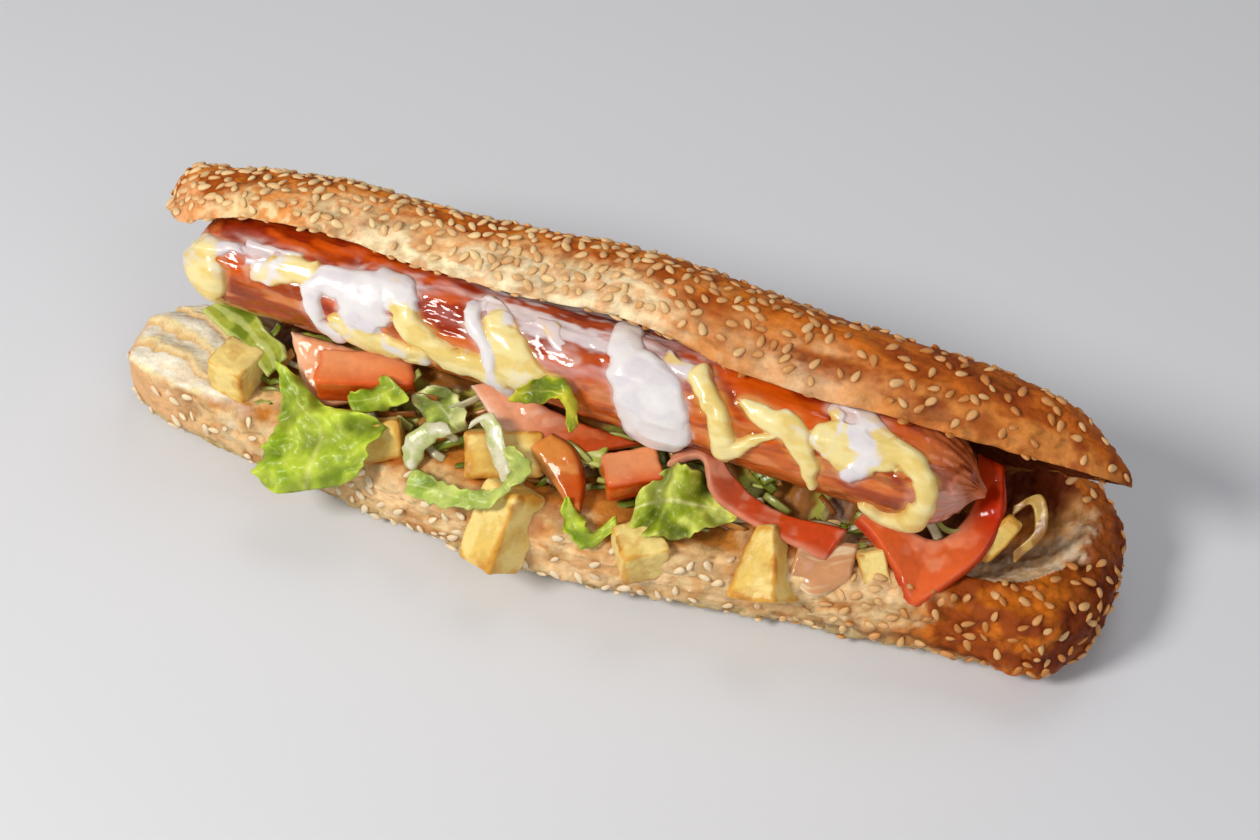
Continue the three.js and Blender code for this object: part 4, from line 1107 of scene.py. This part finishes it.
wedge_look = sliced(((220, 138, 62), (196, 82, 16)), (228, 164, 92), (160, 48, 6), (0.2, 0.7))
curl_look = sliced(((176, 82, 52), (204, 72, 26)), (226, 160, 128), (160, 44, 14), (0.3, 0.7))
pale_slice_look = sliced((236, 160, 112), (246, 206, 170), (206, 62, 24))
long_slice_look = sliced(((230, 160, 122), (190, 76, 30)), ((242, 208, 184), (212, 118, 70)),
                         (176, 60, 20), (0.35, 0.8), slant=0.2)
flap_look = sliced(((222, 100, 48), (186, 42, 8)), ((240, 160, 120), (208, 74, 30)),
                   (178, 38, 8), (0.6, 0.85), flipped=True)


def sheet_reach(u, v, length, width, lobes, frill, seed):
    """Share of the way from one edge to the other, past which lobes and a leaf's fringe stand."""
    at = u * length
    rough = fractal(np.stack([at, 9.0 + 0 * u, 0 * u], -1), (9, 1, 1), seed, 2, 0.35)
    rough2 = fractal(np.stack([at, 0 * u, 5.0 + 0 * u], -1), (8, 1, 1), seed + 1, 2, 0.35)
    out = rough * np.maximum(v - 0.5, 0) * 2 - rough2 * np.maximum(0.5 - v, 0) * 2
    reach = v + (lobes / width) * out
    if frill:
        bend = 4 * noise(np.stack([at, 4 * v, 0 * u], -1), 6, seed + 7)
        fringe = 0.35 * np.sin(TAU * length * u / 4.2 + bend)
        reach = reach + (fringe / width) * (2 * v - 1) ** 3
        reach = 0.5 + (reach - 0.5) * (0.5 + 0.5 * (1 - np.abs(2 * u - 1) ** 10) ** 0.5)
    return reach


def sheet_ripple(grid, u, v, length, wave, waves, crinkle, frill, seed):
    """Waves of a sheet along its length, and curls and puckers of a leaf, in mm."""
    ripple = wave * np.sin(TAU * waves * u + 2 * v) * (0.3 + 0.7 * v * v)
    rim = np.maximum(np.abs(v - 0.5) * 2, 0) ** 3
    curls = np.sin(TAU * length * u / 10 + 4 * noise(grid, 12, seed + 2))
    curls = curls + 0.3 * np.sin(TAU * length * u / 4.6 + 5 * noise(grid, 6, seed + 5))
    pucker = 1 - 2 * np.abs(fractal(grid, 5.5, seed + 6, 2))
    creases = fractal(grid, 5, seed + 3, 3) + (0.6 * pucker if frill else 0)
    return ripple + frill * rim * curls + crinkle * creases


def sheet_shape(edges, thickness, look, seed, wave=0, waves=0, curl=0, crinkle=0, frill=0, lobes=0):
    """A slice or leaf between its lower and upper edges on the slope, both given as stops."""
    one, other = (on_slope(np.array(edge, float)) for edge in edges)
    length = max(np.linalg.norm(np.diff(e, axis=0), axis=1).sum() for e in (one, other))
    width = np.linalg.norm(one - other, axis=1).max()
    rows, columns = int(length / SHEET_STEP) + 4, max(int(width / SHEET_STEP) + 4, 8)
    u, v = np.meshgrid(np.linspace(0, 1, rows), np.linspace(0, 1, columns), indexing="ij")
    grid = mixed(spline(one, u), spline(other, u), sheet_reach(u, v, length, width, lobes, frill, seed))
    ripple = sheet_ripple(grid, u, v, length, wave, waves, crinkle, frill, seed)
    grid = grid + (ripple + curl * 4 * v * (1 - v))[..., None] * OUTWARD
    colour, wet, ribs = look(grid, u, v, seed)
    # Painted light and shade: a leaf is lighter on the ridges of its ripples and darker in the hollows
    if frill:
        colour = colour * (1 + 0.26 * np.clip(ripple - ripple.mean(), -1.8, 1.2))[..., None]
    body = thickness * rounded_rim(rows, columns, length, width, max(thickness * 0.55, 0.5))
    relief = 0.12 * fractal(grid, 3, seed + 4, 2) + ribs
    body = body + min(thickness, 1.2) * relief * (body > 0.2 * thickness)
    return slab(grid, body, colour, wet)


LETTUCE = dict(thickness=0.5, crinkle=1.0, frill=1.4, lobes=2.2)
CABBAGE = dict(thickness=0.6, curl=1.0, crinkle=0.2, frill=0.15, lobes=0.7)
SLICES = {
    "tomato_wedge": dict(
        edges=[
            [[-14, 14, -2], [-9, 9, -1], [-3.5, 5, 0], [0.4, 0.8, 0.5]],
            [[-9, 19, -3], [-2, 16.5, -1.5], [2.5, 9, -0.5], [3.2, 1.2, 0]],
        ], thickness=5, look=wedge_look, crinkle=0.15),
    "tomato_pale_slice": dict(
        edges=[
            [[-86, 23, -4], [-81, 14, -4], [-75, 5.5, -3.5]],
            [[-60, 25, -5], [-59, 20, -4], [-58, 14, -3.5]],
        ],
        thickness=4.5, look=pale_slice_look, crinkle=0.3),
    "tomato_long_slice": dict(
        edges=[
            [[-33, 25, -3], [-20, 15, -2.5], [-8, 12, -2.5]],
            [[-28, 28, -4.5], [-8, 24, -6], [14, 21, -6]],
        ],
        thickness=3.4, look=long_slice_look, crinkle=0.35),
    "tomato_curl": dict(
        edges=[
            [[22, 17, 1], [30, 20, 2], [34, 13, 2], [42, 7, 1.5], [54, 4, 1], [65, 0.5, 1]],
            [[22.5, 19, 0], [31, 23.5, 0], [38, 17, -1], [46, 12, -2], [57, 9.5, -2], [69, 10, -1]],
        ], thickness=2.4, look=curl_look, crinkle=0.35, lobes=0.8),
    "tomato_folded_slice": dict(
        edges=[
            [[70, 12, 0.2], [76, 7.5, 0.8], [82, 1.2, 1.2], [87.5, -6, 1.5],
             [95, 0.5, 0.8], [102, 9.7, -0.5], [104.5, 20, -2.5], [102, 32, -6]],
            [[71, 14, -2.5], [77, 13, -3], [83, 12, -3.5], [88.5, 11, -4],
             [92, 12, -4.5], [96, 18.3, -5], [97, 25, -6.5], [95, 34, -8.5]],
        ], thickness=3.6, look=flap_look, crinkle=0.3),
    "lettuce_rib": dict(
        edges=[
            [[-114, 16, -1], [-104, 14, 0], [-95, 12, 0.5], [-88, 9, 1.5]],
            [[-108, 22, -3], [-98, 23, -3], [-89, 20, -2], [-84, 16, -0.5]],
        ], look=stripe_look, thickness=1.2, wave=0.8, waves=2, crinkle=0.4, lobes=0.8),
    "lettuce_big_leaf": dict(
        edges=[
            [[-87, 15, 1.5], [-82, 5, 2.5], [-81, -4, 4.5], [-82, -12, 5.5], [-79, -19, 5]],
            [[-81, 14, 1.5], [-70, 8.5, 3], [-55, 9, 4], [-53, 1, 5.5], [-56, -8, 5.5]],
        ], look=green_look, wave=1.6, waves=2.6, curl=1.2, **LETTUCE),
    "lettuce_curl": dict(
        edges=[
            [[-64, 13, 3], [-58, 16, 3.5], [-53, 21, 2.5]],
            [[-62, 10, 2], [-54, 13, 2.5], [-47, 18, 2]],
        ],
        look=green_look, wave=0.8, waves=1.3, **LETTUCE),
    "lettuce_pale_bits": dict(
        edges=[
            [[-49, 18, -3], [-42, 14, -1.5], [-36, 11, -1.5]],
            [[-42, 23, -4], [-35, 20, -3], [-30, 15, -2]],
        ],
        look=pale_look, wave=1.6, waves=2.4, **LETTUCE),
    "cabbage_shred_left": dict(
        edges=[[[-45, 0.5, 0.4], [-45.2, 7, 1.8], [-41, 12.5, 1.4], [-36, 14.5, 0]],
               [[-41, -0.5, 0], [-40, 6, 0.6], [-37.5, 9.5, 1], [-33.5, 12, 0.4]]],
        look=shred_look, **CABBAGE),
    "cabbage_shred_right": dict(
        edges=[[[-30, 14, 1.5], [-26.5, 17, 3], [-22.5, 10, 2.6], [-16.5, 2.5, 3.6]],
               [[-28.5, 17.5, 2.5], [-23.5, 20, 4], [-18, 13.5, 5], [-12.5, 5, 2.8]]],
        look=shred_look, **CABBAGE),
    "lettuce_band": dict(
        edges=[
            [[-43, -6.5, 2.5], [-33, -6, 5], [-22, -4.5, 9.5], [-13, 1.5, 11], [-10, 9, 8.5], [-15, 14, 5]],
            [[-42, 0, 2.5], [-32, 1, 5], [-23, 1.5, 9.5], [-16, 4.5, 11], [-15, 9, 8.5], [-19, 13, 5]],
        ], look=band_look, thickness=0.6, wave=0.8, waves=3.4, crinkle=0.8, frill=0.9, lobes=1.8),
    "lettuce_front_frill": dict(
        edges=[
            [[-3, 3, 3], [1, -4, 4], [7, -6, 4], [14, -1, 2.5]],
            [[2, 6, 1], [5, 0, 2], [8, -1, 2], [12, 4, 1]],
        ],
        look=green_look, wave=0.9, waves=2.2, **LETTUCE),
    "lettuce_hook": dict(
        edges=[
            [[-20, 24.5, 4], [-13, 26, 8], [-6, 26, 9], [-3, 19, 4]],
            [[-17, 28, 8], [-12, 31, 10.5], [-4, 31, 11], [0, 24, 7]],
        ], look=hook_look, wave=0.8, waves=1.5, **LETTUCE),
    "lettuce_white_rib": dict(
        edges=[[[-1, 13, -3], [5, 13, -3]], [[-1, 19, -4], [6, 19, -4]]],
        look=stripe_look, thickness=1.6, crinkle=0.2),
    "lettuce_ruffle": dict(
        edges=[
            [[16, -4, 2.5], [24, 0, 4.5], [33, 2, 3.5], [43.5, 6, 0]],
            [[17, 13, 1.5], [25, 17, 3], [32, 15.5, -1.2], [37, 11, -4.4]],
        ], look=ruffle_look, wave=2.4, waves=2.1, **(LETTUCE | dict(crinkle=1.2, frill=1.6))),
    "onion_piece": dict(
        edges=[[[57, -5, 0.5], [64, -8, 0.5], [72, -2, 0.5]], [[58, 5.5, -2], [65, 6, -3], [72, 6, -2.5]]],
        look=onion_look, thickness=2.5, curl=2, crinkle=0.25),
    "cabbage_shreds_right": dict(
        edges=[
            [[106, 20, -7], [110, 24, -6], [112, 18, -6], [108, 12, -7]],
            [[106, 23, -7], [112, 27, -6], [115, 19, -6], [109, 9, -7]],
        ], look=dry_look, thickness=1, wave=0.5, waves=1.5, crinkle=0.4),
}
KIND_MATERIAL = dict(tomato=TOMATO, lettuce=LEAF, cabbage=SHRED, onion=ONION)

BED = dict(left=-104, right=99, middle=(10, -18), half=(18, 10.5))


def bed_points(along, around):
    s = -np.cos(math.pi * along)
    a = BED["left"] + (BED["right"] - BED["left"]) * (s + 1) / 2 + 0 * around
    turn = TAU * around
    size = np.maximum(1 - np.abs(s) ** 5, 0) ** 0.5
    lumps = 1.1 * np.sin(a / 3.7) * np.sin(4 * turn) + 0.8 * np.sin(a / 2.3 + 2 * turn)
    b = BED["middle"][0] + squared(np.cos(turn), 0.6) * BED["half"][0] * size
    h = BED["middle"][1] + (squared(np.sin(turn), 0.6) * BED["half"][1] + lumps) * size
    return on_slope(np.stack([a, b, h], -1))


def bed_shape():
    grid = bed_points((stations(BED_ROWS) + 1) / 2,
                      np.linspace(0, 1, BED_COLUMNS, endpoint=False)[None])
    grid = raised(grid, 0.9 * fractal(grid, 5, 501, 4))
    # Dark brown of sauce and painted shade between the pieces, with patches of green shreds
    colour = painted(
        mixed((150, 92, 28), (96, 52, 14), patches(grid, (9, 7, 7), 502, -0.4, 0.4)),
        ((178, 176, 72), patches(grid, 6, 503, 0.25, 0.6)),
    )
    return closed_tube(grid, colour, wet=0.8)


SHRED_TONES = [(214, 204, 160), (170, 174, 84), (120, 134, 30), (196, 136, 64), (150, 84, 30)]
SHRED_SHARES = [0.2, 0.24, 0.2, 0.2, 0.16]


def shreds_shape(rng, count):
    """Fine curled shreds and crumbs of salad that lie on the heap between the larger pieces."""
    u, v = np.meshgrid(np.linspace(0, 1, SHRED_ROWS), np.linspace(-1, 1, SHRED_COLUMNS), indexing="ij")
    shapes = []
    for _ in range(count):
        place = np.array([rng.uniform(-96, 94), rng.uniform(-2, 22), rng.uniform(-6.5, -3.0)])
        length, width = rng.uniform(6, 12), rng.uniform(0.5, 1.3)
        turn, bend = rng.normal() * 0.5, rng.normal() * 0.8
        angle = turn + bend * (u - 0.5)
        a = np.cumsum(np.cos(angle), 0) * length / SHRED_ROWS
        b = np.cumsum(np.sin(angle), 0) * length / SHRED_ROWS
        h = rng.uniform(0.3, 1.6) * np.sin(math.pi * u) + 0.4 * v * rng.normal()
        a, b = a - a.mean(), b - b.mean()
        path = np.stack([a - np.sin(angle) * v * width, b + np.cos(angle) * v * width, h], -1)
        grid = on_slope(path + place)
        tone = ink(*SHRED_TONES[rng.choice(len(SHRED_TONES), p=SHRED_SHARES)])
        colour = mixed(tone, tone * 0.7, patches(grid, (4, 3, 3), 521, -0.3, 0.6, 2))
        rim = rounded_rim(SHRED_ROWS, SHRED_COLUMNS, length, 2 * width, 0.5)
        shapes.append(slab(grid, 0.55 * rim, colour))
    return Shape.joined(shapes)


# ---- Seeds -------------------------------------------------------------------------

def seed_shape():
    """A seed of half-size 1 that lies along X, with its pointed end at +X."""
    x = -np.cos(math.pi * (np.arange(SEED_ALONG) + 1) / (SEED_ALONG + 1))
    r = np.sqrt(1 - x * x) * (1 - 0.32 * x)
    turn = TAU * np.arange(SEED_AROUND) / SEED_AROUND
    ring = np.stack([
        np.repeat(x[:, None], SEED_AROUND, 1), r[:, None] * np.cos(turn), r[:, None] * np.sin(turn)], -1)
    shape = closed_tube(ring, np.ones(3))
    shape.points[-2:] = (-1, 0, 0), (1, 0, 0)
    return shape


def scatter_seeds(rng, grid, weight, count, spacing):
    """Places and outward directions for seeds on a tube's grid, by weighted darts."""
    along = np.linalg.norm(np.gradient(grid, axis=0), axis=-1)
    across = np.linalg.norm(np.roll(grid, -1, 1) - grid, axis=-1)
    chance = (weight * along * across).ravel()
    draws = rng.choice(len(chance), size=count * 6, p=chance / chance.sum())
    places, outward = grid.reshape(-1, 3), tube_normals(grid).reshape(-1, 3)
    kept = np.zeros((0, 3))
    chosen = []
    for i in draws:
        p = places[i]
        if len(kept) and (np.abs(kept - p).max(1) < spacing).any():
            if (np.linalg.norm(kept - p, axis=1) < spacing).any():
                continue
        kept = np.vstack([kept, p])
        chosen.append(i)
        if len(chosen) == count:
            break
    return places[chosen], outward[chosen]


def seeds_shape(rng, places, outward, browned):
    """Seeds laid flat on the crust; browned is 1 for brown ones, and -1 for the palest."""
    part = seed_shape()
    count, size = len(places), len(part.points)
    lean = unit(outward + 0.12 * rng.normal(size=(count, 3)))
    side = unit(np.cross(lean, rng.normal(size=(count, 3))))
    other = np.cross(lean, side)
    scale = (1 + 0.12 * rng.normal(size=(count, 1, 1))).clip(0.75, 1.25)
    half = np.array([SEED["length"], SEED["width"], SEED["height"]]) / 2
    local = part.points[None] * half * scale
    points = places[:, None] + lean[:, None] * 0.12
    for axis, direction in enumerate((side, other, lean)):
        points = points + local[..., axis : axis + 1] * direction[:, None]
    shade = rng.random((count, 1)) * 0.5 + 0.5 * np.maximum(browned, 0)[:, None]
    # Seeds brown towards the pointed end; a painted shade darkens their undersides
    tip = 0.3 * step(0.3, 1.0, part.points[None, :, 0]) + 0.5 * step(0.3, -0.5, part.points[None, :, 2])
    tone = np.clip(shade + tip + 0 * local[..., 0], 0, 1.2)
    colour = painted(
        mixed((244, 212, 156), (200, 128, 58), np.minimum(tone, 1)),
        ((168, 96, 36), np.maximum(tone - 0.8, 0)),
        ((240, 228, 200), 0.6 * step(0, -1, browned)[:, None]),
    ).reshape(-1, 3)
    offsets = (np.arange(count) * size)[:, None, None]
    quads = (part.quads[None] + offsets).reshape(-1, 4)
    tris = (part.tris[None] + offsets).reshape(-1, 3)
    return Shape(points.reshape(-1, 3), quads, colour, tris=tris)


def shade_and_brown_round_seeds(crust, places):
    """Darkens and browns the crust just beside each seed: a painted contact shade, and the glaze baked
    brown there.
    """
    tree = KDTree(len(places))
    for i, place in enumerate(places):
        tree.insert(place, i)
    tree.balance()
    away = np.array([tree.find(p)[2] for p in crust.points])
    crust.tints *= (1 - 0.24 * hump(away, 1.3, 0.6))[:, None] ** np.array([1, 1.4, 1.9])


# ---- Assembly ----------------------------------------------------------------------

def dress(shape, name, material, slot, *nodes):
    piece = shape.piece(name, material)
    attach(piece, "root")
    if nodes:
        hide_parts(*nodes)
    return piece


def seeded(rng, part, grid, weight, browned):
    """Seeds on a part's grid, and their places; browned gives their browning at an x."""
    places, outward = scatter_seeds(rng, grid, weight, SEEDS_ON[part], SEED_SPACING[part])
    return seeds_shape(rng, places, outward, browned(places[:, 0])), places


def heel_seed_weight(grid, cut, x):
    """Fewer seeds low down, on the back, high at the front and at the left end."""
    z, front = grid[..., 2], grid[..., 1] < 5
    weight = (cut < 0.3) * step(2, 6, z) * np.where(front | (x > 110), 1.0, 0.5)
    return weight * np.where((x < 62) & (z > 9), 0.45, 1) * np.where(x < -70, 0.6, 1)


rng = np.random.default_rng(7)

heel, grid, cut, x = heel_shape()
heel_seeds, places = seeded(rng, "heel", grid, heel_seed_weight(grid, cut, x),
                            lambda at: 2 * step(20, 100, at) - 1)
shade_and_brown_round_seeds(heel, places)
lid, grid, cut, x = lid_shape()
weight = (cut < 0.2) * (1 - 0.62 * step(-30, 70, x))
weight[:, :5] = 0      # none on the rim over the filling
lid_seeds, places = seeded(rng, "lid", grid, weight, lambda at: step(-60, 90, at))
shade_and_brown_round_seeds(lid, places)
hinge, grid, outer = hinge_shape()
hinge_seeds, _ = seeded(rng, "hinge", grid, outer > 0.5, lambda at: step(-60, 90, at))
dress(Shape.joined([heel, lid, hinge]), "roll_bread", BREAD, "crust", "roll")
dress(Shape.joined([heel_seeds, lid_seeds, hinge_seeds]), "sesame_seeds", SEEDS, "crust")

dress(sausage_shape(), "sausage_skin", SKIN, "sausage", "sausage")
dress(sauce_shape(), "sauces", SAUCE, "sausage")

for number, (name, sizes) in enumerate(POTATOES.items()):
    shape = chunk_shape(**sizes, look=potato_look, seed=600 + 10 * number)
    dress(shape, name + "_fried", POTATO, "potato", name)
for number, (name, sizes) in enumerate(TOMATO_BLOCKS.items()):
    shape = chunk_shape(**sizes, look=tomato_look, seed=700 + 10 * number, rough=0.2)
    dress(shape, name + "_cut", TOMATO, "tomato", name)
for number, (name, settings) in enumerate(SLICES.items()):
    kind = name.split("_")[0]
    shape = sheet_shape(seed=800 + 10 * number, **settings)
    dress(shape, name + "_fresh", KIND_MATERIAL[kind], kind, name)
dress(bed_shape(), "salad_heap", SALAD, "salad", "salad_bed")
dress(shreds_shape(rng, FINE_SHREDS), "fine_shreds", SHRED, "salad")


# ---- Floor, light and camera -------------------------------------------------------

TARGET = (np.array([5.3, 6.6, 25.0]) + SHIFT) / 1000
AZIMUTH, ELEVATION, DISTANCE = math.radians(17), math.radians(45), 0.55
FRAME_WIDTH, FOCAL_PIXELS, SENSOR_WIDTH = 1260, 2117.5, 36


def add_floor(half):
    mesh = bpy.data.meshes.new("floor")
    corners = [(-half, -half, 0), (half, -half, 0), (half, half, 0), (-half, half, 0)]
    mesh.from_pydata(corners, [], [(0, 1, 2, 3)])
    material = bpy.data.materials.new("floor_paint")
    material.use_nodes = True
    shader = material.node_tree.nodes["Principled BSDF"]
    shader.inputs["Base Color"].default_value = (0.72, 0.73, 0.76, 1)
    shader.inputs["Roughness"].default_value = 0.9
    mesh.materials.append(material)
    floor = linked("floor", mesh)


def add_light(name, place, size, power, colour=(1, 1, 1)):
    light = bpy.data.lights.new(name, "AREA")
    light.shape = "DISK"
    light.size = size
    light.energy = power
    light.color = colour
    lamp = linked(name, light)
    lamp.location = place
    aim = Vector(TARGET) - Vector(place)
    lamp.rotation_euler = aim.to_track_quat("-Z", "Y").to_euler()


def add_camera():
    camera = bpy.data.cameras.new("camera")
    camera.sensor_width = SENSOR_WIDTH
    camera.lens = SENSOR_WIDTH * FOCAL_PIXELS / FRAME_WIDTH
    camera.clip_start = 0.01
    holder = linked("camera", camera)
    back = Vector((
        math.sin(AZIMUTH) * math.cos(ELEVATION),
        -math.cos(AZIMUTH) * math.cos(ELEVATION),
        math.sin(ELEVATION),
    ))
    holder.location = Vector(TARGET) + back * DISTANCE
    holder.rotation_euler = (-back).to_track_quat("-Z", "Y").to_euler()
    bpy.context.scene.camera = holder


add_floor(3.0)
add_light("key", (-0.5, -0.6, 0.7), 0.3, 8.0, (1, 0.97, 0.93))
add_light("fill", (0.6, -0.7, 0.7), 0.8, 2.9, (0.98, 0.98, 1))
add_light("top", (0.1, 0.5, 0.9), 0.5, 1.6)
world = bpy.data.worlds.new("studio")
world.use_nodes = True
world.node_tree.nodes["Background"].inputs["Color"].default_value = (0.92, 0.93, 0.95, 1)
world.node_tree.nodes["Background"].inputs["Strength"].default_value = 0.2
bpy.context.scene.world = world
bpy.context.scene.view_settings.view_transform = "Standard"
add_camera()
